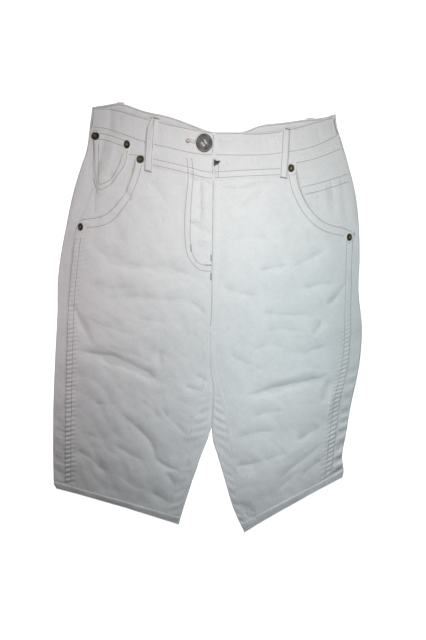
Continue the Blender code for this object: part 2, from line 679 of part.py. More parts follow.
def button():
    """A dished button with two slots, on a thread shank that goes through the buttonhole."""
    x, y = BUTTON_AT
    base = band_base("right", x, y) + BAND + 0.6
    shank_low = band_base("left", x, y) + BAND + LAY - base
    r = BUTTON_RADIUS
    profile = [(0, shank_low), (0.8, shank_low), (0.8, 0.0), (r - 2.2, 0.0), (r - 0.6, 0.5),
               (r, 1.4), (r - 0.4, 2.3), (r - 1.3, 2.8), (r - 2.6, 2.6), (r - 4.0, 1.9),
               (r - 6.0, 1.6), (0, 1.5)]
    made = turned("button", profile, (x, y, base), "horn", 32)
    for shift in (-1.9, 1.9):
        slot_x, slot_y = x + shift * 0.86, y + shift * 0.5
        slot = box_tool("button_slot_tool", (slot_x - 1.4, slot_y + 2.4),
                        (slot_x + 1.4, slot_y - 2.4), 0.7, base + 0.7, base + 4)
        cut(made, slot, "DIFFERENCE")
    return made


def rivet(number, x, y):
    """A domed rivet with a small raised centre, on whichever piece lies uppermost there."""
    side = "right" if x < 0 else "left"
    top = front_base(side, x, y) + DENIM
    if number <= 2:
        top += DENIM + LAY + 0.35
    r = RIVET_RADIUS
    profile = [(0, 0), (r - 0.5, 0), (r, 0.35), (r - 0.5, 0.85), (r - 1.9, 1.2), (2.0, 1.05),
               (1.5, 0.95), (1.2, 1.35), (0, 1.5)]
    return turned("rivet_%d" % number, profile, (x, y, top + LAY + 0.15), "bronze", 20)


def zip_parts():
    """The zip's tape and slider under the fly, and the pull, hinged on the slider's crown."""
    tape = [[(x, y, front_base("left", x, y) + DENIM + LAY + 0.25) for x in (-7.0, 0.0, 6.2)]
            for y in (209.5, 195, 180, 160, 140, 120, 100, 84)]
    cloth("zip_tape", tape, 0.5, "tape")
    px, py, pz = ZIP_PIVOT
    low = front_base("left", 6.0, py) + DENIM + LAY
    outline = [(px + x, py + y) for x, y in ZIP_BODY]
    slider = plate("zip_slider", outline, low, low + 2.0, "gunmetal")
    for post_y in (py - 3.55, py + 3.55):
        post = box_tool("zip_post_tool", (px, post_y - 0.5), (px, post_y + 0.5), 0.6, low + 1.0,
                        pz + 0.6)
        cut(slider, post, "UNION")
    pin = box_tool("zip_pin_tool", (px, py - 3.8), (px, py + 3.8), 0.4, pz - 0.4, pz + 0.4)
    cut(slider, pin, "UNION")

    hook, inner = [], []
    for k in range(13):
        angle = math.radians(-20 + 270 * k / 12)
        hook.append((1.25 * math.cos(angle), 1.25 * math.sin(angle)))
        inner.append((0.8 * math.cos(angle), 0.8 * math.sin(angle)))
    section = hook + list(reversed(inner))
    count = len(section)
    points = [(x, y, z) for y in (-2.6, 2.6) for x, z in section]
    faces = [list(range(count)), list(reversed(range(count, 2 * count)))]
    faces += [[i, count + i, count + (i + 1) % count, (i + 1) % count] for i in range(count)]
    pull = add_object("zip_pull", points, faces, "gunmetal")
    blade = plate("zip_blade_tool", ZIP_LEAF, -0.5, 0.5, "gunmetal", tool=True)
    hang = math.radians(17)
    for piece in (pull, blade):
        piece.location = (px * MM, py * MM, pz * MM)
        piece.rotation_euler = (0.0, hang, 0.0)
    cut(pull, blade, "UNION")
    return pull


def build():
    for old in list(bpy.data.objects):
        bpy.data.objects.remove(old)
    for side in ("right", "left"):
        back_panel(side)
        front_panel(side)
        yoke(side)
        hip_facing(side)
        waistband(side)
        hem(side)
    hip_band()
    coin_pocket()
    waistband_back()
    for loop in FRONT_LOOPS:
        belt_loop_front(*loop)
    for loop in BACK_LOOPS:
        belt_loop_back(*loop)
    zip_parts()
    button()
    for number, (x, y) in enumerate(RIVETS, 1):
        rivet(number, x, y)


build()
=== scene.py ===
import math
import random

import bpy
import numpy as np
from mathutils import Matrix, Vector
from mathutils.bvhtree import BVHTree


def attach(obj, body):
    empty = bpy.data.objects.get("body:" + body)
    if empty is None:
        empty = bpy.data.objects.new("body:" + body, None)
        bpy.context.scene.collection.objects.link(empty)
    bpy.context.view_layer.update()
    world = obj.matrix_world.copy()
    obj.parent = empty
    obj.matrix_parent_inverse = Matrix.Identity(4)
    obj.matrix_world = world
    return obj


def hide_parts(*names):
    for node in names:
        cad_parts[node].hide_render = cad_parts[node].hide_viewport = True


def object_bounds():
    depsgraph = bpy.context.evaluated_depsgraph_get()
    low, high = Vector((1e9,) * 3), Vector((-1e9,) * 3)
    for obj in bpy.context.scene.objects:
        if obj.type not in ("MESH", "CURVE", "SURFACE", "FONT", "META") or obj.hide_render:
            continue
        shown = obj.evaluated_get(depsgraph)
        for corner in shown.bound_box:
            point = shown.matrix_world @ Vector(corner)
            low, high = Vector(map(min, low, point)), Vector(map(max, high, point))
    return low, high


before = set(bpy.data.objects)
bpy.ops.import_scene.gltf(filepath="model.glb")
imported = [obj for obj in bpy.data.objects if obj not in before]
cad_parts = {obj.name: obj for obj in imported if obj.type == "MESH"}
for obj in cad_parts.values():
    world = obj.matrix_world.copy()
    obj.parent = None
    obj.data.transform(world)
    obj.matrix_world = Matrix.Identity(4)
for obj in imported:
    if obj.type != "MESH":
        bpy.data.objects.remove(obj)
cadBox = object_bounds()

# Shorts laid on their back, waist towards +Y. "right" and "left" are the wearer's.
# Every table and size below is in millimetres until a mesh is made.
mm = 0.001
denimThick = 1.1
bandThick = 1.7
hemThick = 1.5
frontHeight = 3.2      # underside of the front panels
bandHeight = 3.4       # underside of the front waistband
seamGap = 0.1          # between two pieces sewn edge to edge
layGap = 0.3           # between a piece and the one that lies on it
foldRadius = (frontHeight + denimThick) / 2
bandFold = (bandHeight + bandThick) / 2
outward = {"right": -1.0, "left": 1.0}

waistY = {"right": 265.0, "left": 255.0}
centreWaistY = 223.0
crotchY = -18.6
crotchFoldY = -14.0
hemSeam = {"right": (-228.5, -279.5), "left": (-212.0, -289.0)}
hemEdge = {"right": ((-212.4, -239.2), (-41.3, -290.0)),
           "left": ((187.0, -223.8), (50.1, -300.7))}

# Lengthwise lines, as x at each y.
outerFold = {
    "right": [(297, -162.5), (269, -166.3), (235, -171.0), (211, -179.0), (172, -190.3),
              (128, -199.5), (96, -205.7), (53, -211.3), (11, -211.8), (-52, -214.9),
              (-94, -216.6), (-130, -217.7), (-205, -217.7), (-232, -217.0)],
    "left": [(286, 178.0), (267, 180.4), (250, 185.8), (219, 195.0), (179, 205.1), (150, 209.3),
             (86, 212.0), (39, 210.5), (-14, 215.2), (-52, 213.2), (-77, 209.6), (-117, 200.8),
             (-168, 191.9), (-193, 187.6), (-215, 189.8)],
}
sideSeam = {
    "right": [(266, -161.0), (214, -160.8), (190, -161.0), (165, -167.0), (140, -178.5),
              (118, -186.8), (82, -192.0), (26, -197.4), (-45, -199.8), (-167, -202.3),
              (-232, -202.3)],
    "left": [(266, 177.4), (250, 182.8), (219, 192.0), (179, 202.0), (150, 205.6), (126, 204.8),
             (100, 203.2), (15, 200.9), (-54, 198.0), (-93, 191.0), (-112, 186.2), (-142, 182.3),
             (-171, 178.4), (-200, 175.4), (-220, 172.5)],
}
centreLine = [(265, 9.6), (223, 7.6), (193, 7.2), (74, 5.6), (-3, 4.1), (-18.6, 2.1), (-47, 1.4),
              (-70, 2.2), (-87, 4.9), (-101, 6.8), (-117, 6.5), (-154, 4.2)]
innerFold = {
    "right": [(-154, 4.2), (-171, -1.1), (-190, -8.7), (-210, -15.8), (-236, -24.8),
              (-280, -38.8)],
    "left": [(-154, 4.2), (-174, 6.3), (-191, 11.9), (-224, 21.7), (-266, 34.3), (-301, 50.1)],
}
inseam = {
    "right": [(-18.6, -0.8), (-75, -4.5), (-107, -9.5), (-150, -22.5), (-196, -35.5),
              (-236, -46.5), (-282, -59.0)],
    "left": [(-18.6, 5.0), (-59, 5.2), (-94, 11.6), (-115, 18.1), (-156, 26.5), (-200, 32.8),
             (-254, 42.0), (-292, 52.0)],
}

# Crosswise lines, as y at each x.
waistTop = [(-164, 294.5), (-133, 292.6), (-108, 285.4), (-74, 275.9), (-33, 267.0), (7, 260.4),
            (36, 259.6), (72, 258.9), (104, 262.9), (128, 268.2), (160, 277.6), (180, 282.8)]
waistSeam = [(-166, 265.2), (-144, 262.6), (-126, 256.9), (-91, 244.7), (-57, 236.1),
             (-7, 226.0), (11, 226.0), (44, 225.4), (72, 225.7), (102, 228.6), (143, 236.2),
             (166, 245.7), (185, 255.8)]
backTop = [(-165, 295.0), (-144, 298.3), (-128, 300.6), (-118, 299.4), (-91, 290.4),
           (-55, 282.3), (-23, 271.0), (2, 261.6), (27, 257.8), (50, 261.6), (72, 269.9),
           (104, 273.8), (140, 278.7), (158, 280.2), (178, 286.0)]
yokeSeam = [(-104, 217.0), (-77, 211.3), (-55, 206.4), (-27, 199.6), (-3, 193.4), (14, 193.6),
            (41, 195.2), (72, 196.7), (102, 198.4), (128, 203.0)]
hipSeam = {
    "right": [(-162, 232.2), (-151, 230.2), (-130, 228.5), (-99, 225.0)],
    "left": [(116, 213.0), (143, 218.6), (166, 226.2), (193, 237.8)],
}
hipBandSeam = [(130.0, 170.0), (157.0, 175.8), (201.5, 190.0)]

# Scoop pocket openings, from the yoke to the side seam.
scoop = {
    "right": [(-102.5, 219.5), (-109.1, 196.2), (-118.4, 174.0), (-130.3, 158.6),
              (-144.7, 145.6), (-155.0, 141.6), (-170.0, 139.8), (-178.0, 137.4),
              (-183.0, 131.0)],
    "left": [(123.0, 208.5), (127.6, 184.5), (134.8, 167.2), (144.0, 152.0), (158.6, 137.2),
             (173.5, 130.2), (189.2, 126.8), (197.0, 123.5), (203.8, 115.5)],
}

# Creases of the cloth: a line from left to right, half-widths above and below it, and depth
# (- is a trough, + a ridge). A small half-width makes a sharp flank.
creases = {
    "right": [
        ([(-184, -58), (-134, -69), (-98, -84), (-66, -106)], 7, 10, 0.55),
        ([(-183, -47), (-159, -50), (-135, -57), (-117, -63), (-99, -72), (-79, -82),
          (-61, -97)], 5, 13, -2.4),
        ([(-146, -38), (-118, -48), (-88, -59), (-71, -68)], 8, 5, -0.5),
        ([(-68, -42), (-67, -56), (-66, -72)], 3.5, 3.5, -0.5),
        ([(-195, 25), (-186, 9), (-176, -9), (-166, -28), (-156, -44)], 6, 6, -1.08),
        ([(-174, 7), (-158, -7), (-127, -17), (-96, -28)], 5, 6, -0.4),
        ([(-125, -131), (-117, -138), (-103, -150), (-89, -164), (-79, -177), (-72, -198),
          (-64, -205), (-46, -213), (-26, -222)], 4, 5.5, -0.85),
        ([(-68, -126), (-54, -140), (-40, -154), (-26, -168)], 4.5, 5, -0.55),
        ([(-99, -112), (-82, -126), (-68, -140), (-59, -154)], 5, 6, -0.4),
        ([(-186, -185), (-174, -191), (-163, -199), (-152, -209), (-139, -219)], 5, 7, -0.8),
        ([(-134, -177), (-121, -184), (-108, -192), (-88, -199)], 4, 6, -0.6),
        ([(-163, -118), (-146, -122), (-124, -121)], 5, 5, -0.35),
        ([(-174, -160), (-158, -167), (-138, -171)], 5, 6, -0.3),
        ([(-58, -216), (-52, -227), (-46, -240)], 3.5, 4, -0.6),
        ([(-82, -244), (-68, -251), (-47, -264)], 3.5, 4.5, -0.7),
        ([(-121, -224), (-104, -236), (-85, -241)], 5, 6, -0.4),
        ([(-36, -95), (-18, -100), (-2, -105)], 3.5, 4, -0.6),
        ([(-20, -80), (-9, -84), (-1, -91)], 3.5, 4, -0.5),
        ([(-166, 107), (-146, 89), (-121, 75), (-88, 71), (-51, 67), (4, 51)], 7, 9, -1.16),
        ([(-152, 25), (-110, 30), (-61, 25), (-12, 30)], 7, 9, -0.7),
        ([(-172, 50), (-138, 42), (-96, 44)], 7, 8, -0.54),
        ([(-121, 182), (-114, 173), (-106, 161)], 4, 4, -0.78),
        ([(-82, 196), (-71, 179), (-57, 159)], 7, 6, -0.78),
        ([(-29, 135), (-16.5, 131), (-9.5, 124.5), (7, 119.5)], 2.4, 4.5, -1.15),
        ([(-10, 198), (-9.5, 160), (-9.8, 120)], 2.0, 5, -0.95),
        ([(-33, 203), (-12, 195), (7.5, 186)], 2.2, 4.5, -1.15),
        ([(-20, 158), (-9, 152), (4, 148)], 2.5, 4, -0.3),
        ([(-18, 109), (-6, 105), (4, 100)], 3, 4, -0.3),
        ([(-141, 151), (-124, 120), (-113, 95)], 9, 9, -0.62),
        ([(-104, 0), (-61, -6), (-18, 2)], 8, 8, -0.54),
        ([(-29, 25), (-15, 16), (-1, 2)], 5, 5, -0.62),
    ],
    "left": [
        ([(48, -121), (87, -110), (128, -100), (168, -88)], 7, 9, 0.35),
        ([(48, -112), (66, -105), (89, -100), (111, -94), (135, -89), (156, -84),
          (176, -75)], 4.5, 11, -1.5),
        ([(157, -121), (164, -103), (171, -82)], 5, 6, -0.6),
        ([(166, -146), (170, -122), (174, -93)], 4.5, 4.5, 0.7),
        ([(122, -173), (139, -163), (162, -149)], 4.5, 7, -0.95),
        ([(108, -192), (128, -180), (153, -154)], 6, 6, 0.35),
        ([(37, -208), (55, -205), (76, -201)], 4.5, 6, -0.7),
        ([(76, -202), (94, -194), (114, -188)], 5, 5, -0.4),
        ([(94, -230), (120, -208), (145, -188), (164, -168)], 5, 6, -0.5),
        ([(75, -252), (100, -238), (128, -213)], 6, 6, -0.4),
        ([(128, -224), (145, -208), (164, -194)], 4, 5, -0.5),
        ([(58, -140), (80, -133), (114, -129)], 5, 6, -0.5),
        ([(38, -171), (64, -161), (100, -157)], 5, 7, -0.5),
        ([(41, -258), (52, -266), (69, -273)], 3, 3.5, -0.7),
        ([(48, -273), (58, -278), (69, -282)], 3, 3, -0.5),
        ([(70, 9), (107, 4), (146, 6)], 5, 7, -0.62),
        ([(75, -19), (103, -16), (136, -20)], 5, 6, -0.4),
        ([(145, -26), (153, -14), (159, 0)], 4.5, 4.5, -0.7),
        ([(58, -44), (89, -38), (122, -45)], 6, 6, -0.4),
        ([(125, -56), (145, -45), (170, -40)], 5, 5, -0.45),
        ([(27, -48), (44, -59), (66, -68)], 5, 5, -0.4),
        ([(41, 152), (58, 165), (78, 182)], 7, 6, -0.78),
        ([(69, 65), (89, 70), (114, 75)], 5, 6, -0.85),
        ([(114, 70), (142, 84), (173, 100)], 6, 6, -0.78),
        ([(128, 39), (156, 47), (190, 50)], 5, 6, -0.7),
        ([(166, 16), (181, 33), (194, 52)], 5, 6, -0.75),
        ([(30, 109), (58, 114), (94, 109)], 9, 9, -0.54),
        ([(19, 46), (44, 35), (75, 30)], 6, 8, -0.7),
        ([(100, 126), (128, 114), (162, 112)], 8, 8, -0.54),
        ([(15, 184), (38, 182), (69, 187), (97, 194)], 3.5, 5, -0.85),
    ],
    "hipRight": [
        ([(-138, 272), (-146, 245), (-150, 228), (-154, 212), (-157, 192), (-158, 172)],
         4.5, 5, -0.9),
        ([(-159, 179), (-159, 162), (-159, 144)], 4, 4, -0.9),
        ([(-164, 169), (-172, 154), (-181, 134)], 4, 4, -0.4),
        ([(-138, 210), (-135, 196), (-138, 179)], 5, 5, -0.6),
        ([(-118, 184), (-113, 176), (-106, 166)], 4, 4, -0.5),
        ([(-146, 170), (-135, 165), (-124, 161)], 5, 5, -0.4),
    ],
    "hipLeft": [
        ([(152, 186), (153, 168), (153, 145)], 4, 4, -0.7),
        ([(162, 191), (163, 170), (167, 140)], 3.5, 3.5, 0.5),
        ([(172, 196), (173, 170), (176, 134)], 4, 4, -0.8),
        ([(187, 198), (188, 170), (194, 128)], 4, 4, -0.7),
        ([(180, 193), (181, 165), (184, 134)], 3, 3, 0.4),
        ([(122, 198), (135, 196), (150, 200)], 4, 5, -0.6),
        ([(139, 165), (148, 156), (156, 154)], 5, 5, -0.4),
    ],
    "bandRight": [
        ([(-135, 312), (-136, 282), (-138, 248)], 5, 6, -2.0),
        ([(-158, 280), (-152, 288), (-141, 294)], 5, 5, 0.5),
        ([(-124, 288), (-122, 268), (-124, 252)], 4, 4, -0.4),
        ([(-106, 287), (-106, 266), (-107, 246)], 3.5, 3.5, -0.45),
        ([(-68, 274), (-68, 257), (-66, 240)], 3.5, 3.5, -0.5),
        ([(-58, 271), (-57, 254), (-57, 238)], 3, 3, 0.4),
        ([(-46, 268), (-45, 252), (-44, 235)], 3.5, 3.5, -0.5),
        ([(-31, 266), (-31, 249), (-31, 232)], 4, 4, -0.35),
    ],
    "bandLeft": [
        ([(10, 250), (22, 247), (36, 249), (48, 252)], 3.2, 3.2, -0.65),
        ([(152, 271), (153, 257), (156, 242)], 3.5, 3.5, -0.6),
        ([(163, 275), (164, 261), (167, 246)], 3, 3, -0.4),
        ([(172, 277), (173, 263), (176, 249)], 3.5, 3.5, -0.65),
        ([(69, 256), (69, 242), (69, 228)], 5, 5, -0.25),
        ([(124, 263), (124, 249), (125, 235)], 4, 4, -0.35),
        ([(136, 266), (136, 252), (139, 238)], 4, 4, 0.3),
    ],
    "coin": [
        ([(-136, 274), (-146, 245), (-150, 228), (-154, 212), (-158, 186)], 4.5, 5, -0.95),
        ([(-131, 246), (-135, 232), (-138, 215)], 4, 4, 0.5),
        ([(-146, 204), (-141, 198), (-132, 207)], 4, 4, -0.5),
        ([(-124, 238), (-128, 224), (-135, 210)], 3.5, 3.5, -0.4),
    ],
}


def ease(start, end, value):
    t = np.clip((np.asarray(value, float) - start) / (end - start), 0.0, 1.0)
    return t * t * (3 - 2 * t)


# Value of a smooth line through a table's points.
def lineAt(table, at):
    keys = np.array(sorted(table), float)
    at = np.clip(np.asarray(at, float), keys[0, 0], keys[-1, 0])
    i = np.clip(np.searchsorted(keys[:, 0], at) - 1, 0, len(keys) - 2)
    width = np.diff(keys[:, 0])
    slope = np.diff(keys[:, 1]) / width
    tangent = np.concatenate([slope[:1], (slope[:-1] + slope[1:]) / 2, slope[-1:]])
    t = (at - keys[i, 0]) / width[i]
    rise = t * (1 - t) ** 2 * tangent[i] - t * t * (1 - t) * tangent[i + 1]
    return (1 + 2 * t) * (1 - t) ** 2 * keys[i, 1] + t * t * (3 - 2 * t) * keys[i + 1, 1] \
        + rise * width[i]


# Evenly stepped points on a smooth curve through points in the plane.
def walk(points, count):
    points = np.asarray(points, float)
    reach = np.concatenate([[0], np.cumsum(np.hypot(*np.diff(points, axis=0).T))])
    at = np.linspace(0, reach[-1], count + 1)
    return np.column_stack([lineAt(list(zip(reach, points[:, 0])), at),
                            lineAt(list(zip(reach, points[:, 1])), at)])


def crosswise(table, above, start, end):
    xs = np.linspace(start, end, 30)
    return np.column_stack([xs, lineAt(table, xs) + above])


def lengthwise(table, gap, start, end, count=40):
    ys = np.linspace(start, end, count)
    return np.column_stack([lineAt(table, ys) + gap, ys])


# Signed gap to a line of points (+ on its left-hand side), reach along it, and its length.
def fromLine(points, x, y):
    x, y = np.broadcast_arrays(np.asarray(x, float), np.asarray(y, float))
    best = np.full(x.shape, 1e9)
    sign = np.ones(x.shape)
    reach = np.zeros(x.shape)
    before = 0.0
    for (ax, ay), (bx, by) in zip(points[:-1], points[1:]):
        dx, dy = bx - ax, by - ay
        size = math.hypot(dx, dy)
        t = np.clip(((x - ax) * dx + (y - ay) * dy) / size ** 2, 0.0, 1.0)
        gap = np.hypot(x - ax - t * dx, y - ay - t * dy)
        closer = gap < best
        best = np.where(closer, gap, best)
        sign = np.where(closer, np.where(dx * (y - ay) - dy * (x - ax) >= 0, 1.0, -1.0), sign)
        reach = np.where(closer, before + t * size, reach)
        before += size
    return best * sign, reach, before


scoopLine = {side: walk(points, 40) for side, points in scoop.items()}
hemLine = {side: [(lineAt(outerFold[side], outer), outer), (lineAt(innerFold[side], inner), inner)]
           for side, (outer, inner) in hemSeam.items()}
creaseLines = {side: [(walk(points, 16), above, below, depth)
                      for points, above, below, depth in rows]
               for side, rows in creases.items()}

# The cloth's small unevenness: many faint waves, the same on every layer.
driftWaves = []
driftDice = random.Random(7)
for waveLength, waveHeight in ((150, 0.28), (110, 0.27), (80, 0.24), (62, 0.22), (48, 0.18),
                               (36, 0.13), (27, 0.09), (20, 0.06), (15, 0.04), (11, 0.028)):
    for _ in range(2):
        heading = driftDice.uniform(0, math.pi)
        driftWaves.append((math.cos(heading) * 2 * math.pi / waveLength,
                           math.sin(heading) * 2 * math.pi / waveLength,
                           driftDice.uniform(0, 2 * math.pi), waveHeight))


def drift(x, y):
    height = 0.0
    for kx, ky, phase, size in driftWaves:
        height = height + size * np.sin(kx * x + ky * y + phase)
    return height * (1 - 0.45 * ease(150, 215, y))    # the waist is stiffer


# Small crumples on the legs, rows of soft valleys that wander, come and go: heading in degrees,
# spacing, height, seed.
crumples = {
    "right": [(-38, 22.0, 0.50, 0.4), (-64, 14.0, 0.17, 2.1), (-8, 30.0, 0.40, 4.4)],
    "left": [(22, 24.0, 0.50, 1.2), (47, 15.0, 0.20, 3.0), (-14, 31.0, 0.42, 0.7)],
}


def crumpled(side, x, y):
    height = 0.0
    for heading, spacing, size, seed in crumples[side]:
        turn = math.radians(heading)
        u = x * math.cos(turn) + y * math.sin(turn)
        v = y * math.cos(turn) - x * math.sin(turn)
        v = v + 5.0 * np.sin(u / 23.0 + seed) + 3.0 * np.sin(u / 11.3 + v / 19.0 + 2 * seed)
        pillow = np.abs(np.sin(math.pi * v / spacing + 0.9 * np.sin(u / 37.0 + 3 * seed))) - 0.64
        comes = np.sin(u / 33.0 + v / 47.0 + seed) + 0.6 * np.sin(u / 14.5 - v / 29.0 + 2 * seed)
        height = height + size * pillow * ease(-0.5, 1.0, comes)
    return height * ease(120, 60, y) * (0.25 + 0.75 * ease(30, -70, y))


creaseDepth = {"right": 3.2, "left": 3.8, "hipRight": 2.2, "hipLeft": 1.5, "bandRight": 1.7,
               "bandLeft": 1.8, "coin": 2.2}
legPuff = 1.7      # the legs stand a little higher between their seams
clothLow = 1.45    # the underside of the front stays above the back


def creaseHeight(side, x, y):
    height = np.zeros(np.shape(x))
    for line, above, below, depth in creaseLines[side]:
        gap, reach, length = fromLine(line, x, y)
        along = reach / length
        taper = ease(-0.02, 0.25, along) * ease(1.02, 0.62, along)
        uneven = 0.85 + 0.15 * np.sin(reach / 9.0 + length) + 0.12 * np.sin(reach / 4.7 + depth)
        wide = np.where(gap > 0, above, below) * (0.75 + 0.4 * taper)
        sharp = np.exp(0.3 - np.hypot(1.25 * gap / wide, 0.3))    # sharp line, soft flanks
        lip = np.exp(-((np.abs(gap) - 2.6 * wide) / (1.4 * wide)) ** 2)
        height += creaseDepth[side] * depth * taper * uneven * (sharp - 0.14 * lip)
    return height


# A height that eases off towards a lower limit and never passes it.
def keptAbove(limit, height):
    return limit + (height - limit + np.hypot(height - limit, 0.4)) / 2


# The fly: its own thickness, how far the right half rises over the left, and more at the zip's
# top; how far the left half dips under it, more beside the right's edge and at the zip's top.
flyLook = {"thick": 1.0, "rise": 0.8, "zipRise": 1.1, "dip": 0.45, "edgeDip": 1.3, "zipDip": 0.5}
scoopRise = 0.6


# Underside of the front: it rises at the scoop, and the right fly laps over the left.
def frontBase(side, x, y):
    gap = np.abs(fromLine(scoopLine[side], x, y)[0])
    fromSide = np.minimum(np.abs(x - lineAt(outerFold[side], y)), np.abs(x - centreX(side, y)))
    base = frontHeight + creaseHeight(side, x, y) + drift(x, y) + crumpled(side, x, y)
    fromHem = np.abs(fromLine(hemLine[side], x, y)[0])
    base += legPuff * ease(0, 45, fromSide) * ease(110, 40, y) * ease(0, 42, fromHem)
    if side == "right":
        base += flyLook["thick"] * ease(-36, -26, x) * ease(62, 82, y) * ease(215, 195, y)
    base = keptAbove(clothLow, base) + scoopRise * ease(25, 0, gap)
    atZip = ease(200, 212, y)
    beside = ease(36, 66, y)
    if side == "right":
        rise = flyLook["rise"] + flyLook["zipRise"] * atZip
        return base + rise * ease(-40, -8, x) * beside
    fromFly = x - lineAt(centreLine, y)
    dip = flyLook["dip"] * ease(34, 12, x) + flyLook["edgeDip"] * ease(5.0, 0.8, fromFly)
    return base - (dip + flyLook["zipDip"] * atZip * ease(34, 13, x)) * beside


# Underside of a pocket facing: level with the yoke above, under the front panel at the scoop.
def facingBase(side, x, y):
    hipGap = fromLine(scoopLine[side], x, y)[0] * outward[side]
    low = frontHeight - 0.8 * ease(28, 0, hipGap) + 0.04 * np.minimum(hipGap, 0) + drift(x, y)
    low = low + creaseHeight("hip" + side.title(), x, y) * 0.8
    nearYoke = ease(20, 0, lineAt(hipSeam[side], x) - y) * ease(-1, 0.4, hipGap)
    return low + (frontBase(side, x, y) - low) * nearYoke


def bandBase(side, x, y):
    base = bandHeight + drift(x, y) + creaseHeight("band" + side.title(), x, y) * 0.7
    if side == "right":
        return base + 0.6 * ease(-46, -16, x)
    return base - 1.4 * ease(32, 12, x)


loopWidth = 10.8
backLoopLook = {
    "ends": {"right": (-123.5, 302.2, 251.0), "left": (142.8, 280.8, 232.0)},    # x, top, bottom
    "cut": {"flat": (0.018, 0.052), "area": 0.00058},
}


# The back rides up over its two belt loops.
def backLift(x, y):
    lift = np.zeros(np.shape(x))
    for loopX, _, bottom in backLoopLook["ends"].values():
        near = ease(20, 7, np.abs(x - loopX)) * ease(bottom - 22, bottom - 8, y)
        lift = np.maximum(lift, (denimThick + layGap + 0.1) * near)
    return lift


def centreX(side, y):
    return np.where(np.asarray(y) > -154, lineAt(centreLine, y), lineAt(innerFold[side], y))


def inseamX(side, y):
    limit = centreX(side, y) + outward[side] * (foldRadius + 0.9)
    line = lineAt(inseam[side], y)
    return np.minimum(line, limit) if side == "right" else np.maximum(line, limit)


def seamX(side, y):
    limit = lineAt(outerFold[side], y) - outward[side] * (foldRadius + 0.7)
    line = lineAt(sideSeam[side], y)
    return np.maximum(line, limit) if side == "right" else np.minimum(line, limit)


# Steps from 0 to 1 along a length in millimetres, finer at both ends.
def steps(length, coarse, fine=1.0, start=0.0, end=0.0):
    marks = list(np.arange(0, start, fine))
    middle = max(int(round((length - start - end) / coarse)), 1)
    marks += list(np.linspace(start, length - end, middle + 1))
    marks += list(np.arange(length - end + fine, length, fine)) + [length] if end else []
    return np.unique(np.round(np.array(marks) / length, 6))


# Materials. Each helper adds one node, fed by what it is given, and returns its output.
def addNode(tree, kind, feeds, values):
    node = tree.nodes.new("ShaderNode" + kind)
    for socket, source in feeds.items():
        tree.links.new(source, node.inputs[socket])
    for socket, value in values.items():
        node.inputs[socket].default_value = value
    return node


def objectPlace(tree):
    return addNode(tree, "TexCoord", {}, {}).outputs["Object"]


def mapped(tree, place, **values):
    return addNode(tree, "Mapping", {"Vector": place}, values).outputs["Vector"]


def noise(tree, place, **values):
    return addNode(tree, "TexNoise", {"Vector": place}, values).outputs["Fac"]


def ramp(tree, source, first, last, at=(0.0, 1.0)):
    tone = addNode(tree, "ValToRGB", {"Fac": source}, {})
    for stop, position, colour in zip(tone.color_ramp.elements, at, (first, last)):
        stop.position = position
        stop.color = (*colour, 1)
    return tone.outputs["Color"]


def multiplied(tree, first, second):
    mix = addNode(tree, "MixRGB", {"Color1": first, "Color2": second}, {"Fac": 1.0})
    mix.blend_type = "MULTIPLY"
    return mix.outputs["Color"]


def bumped(tree, height, strength, depth, under=None):
    feeds = {"Height": height} if under is None else {"Height": height, "Normal": under}
    values = {"Strength": strength, "Distance": depth * mm}
    return addNode(tree, "Bump", feeds, values).outputs["Normal"]


def startMaterial(name, values):
    made = bpy.data.materials.new(name)
    made.use_nodes = True
    shader = made.node_tree.nodes["Principled BSDF"]
    for socket, value in values.items():
        shader.inputs[socket].default_value = value
    return made, made.node_tree, shader


denimLook = {
    "colour": (0.90, 0.895, 0.89), "shade": (0.86, 0.855, 0.852), "cloudScale": 22.0,
    "fleck": 0.76, "fleckStretch": (620, 110, 300),
    # The hollow and ridge stops set the painted crease shade: darker in hollows, none on ridges.
    "hollow": (0.455, 0.80), "ridge": (0.503, 1.0),    # (bend, shade)
    "slubDepth": 0.55, "slubStretch": (900, 160, 300), "grainDepth": 0.75, "grainScale": 260.0,
    "twillPitch": 0.75, "twillDepth": 0.10, "twillTurn": -62,
    "roughness": 0.88, "specular": 0.25, "sheen": 0.25, "sheenRoughness": 0.5,
}


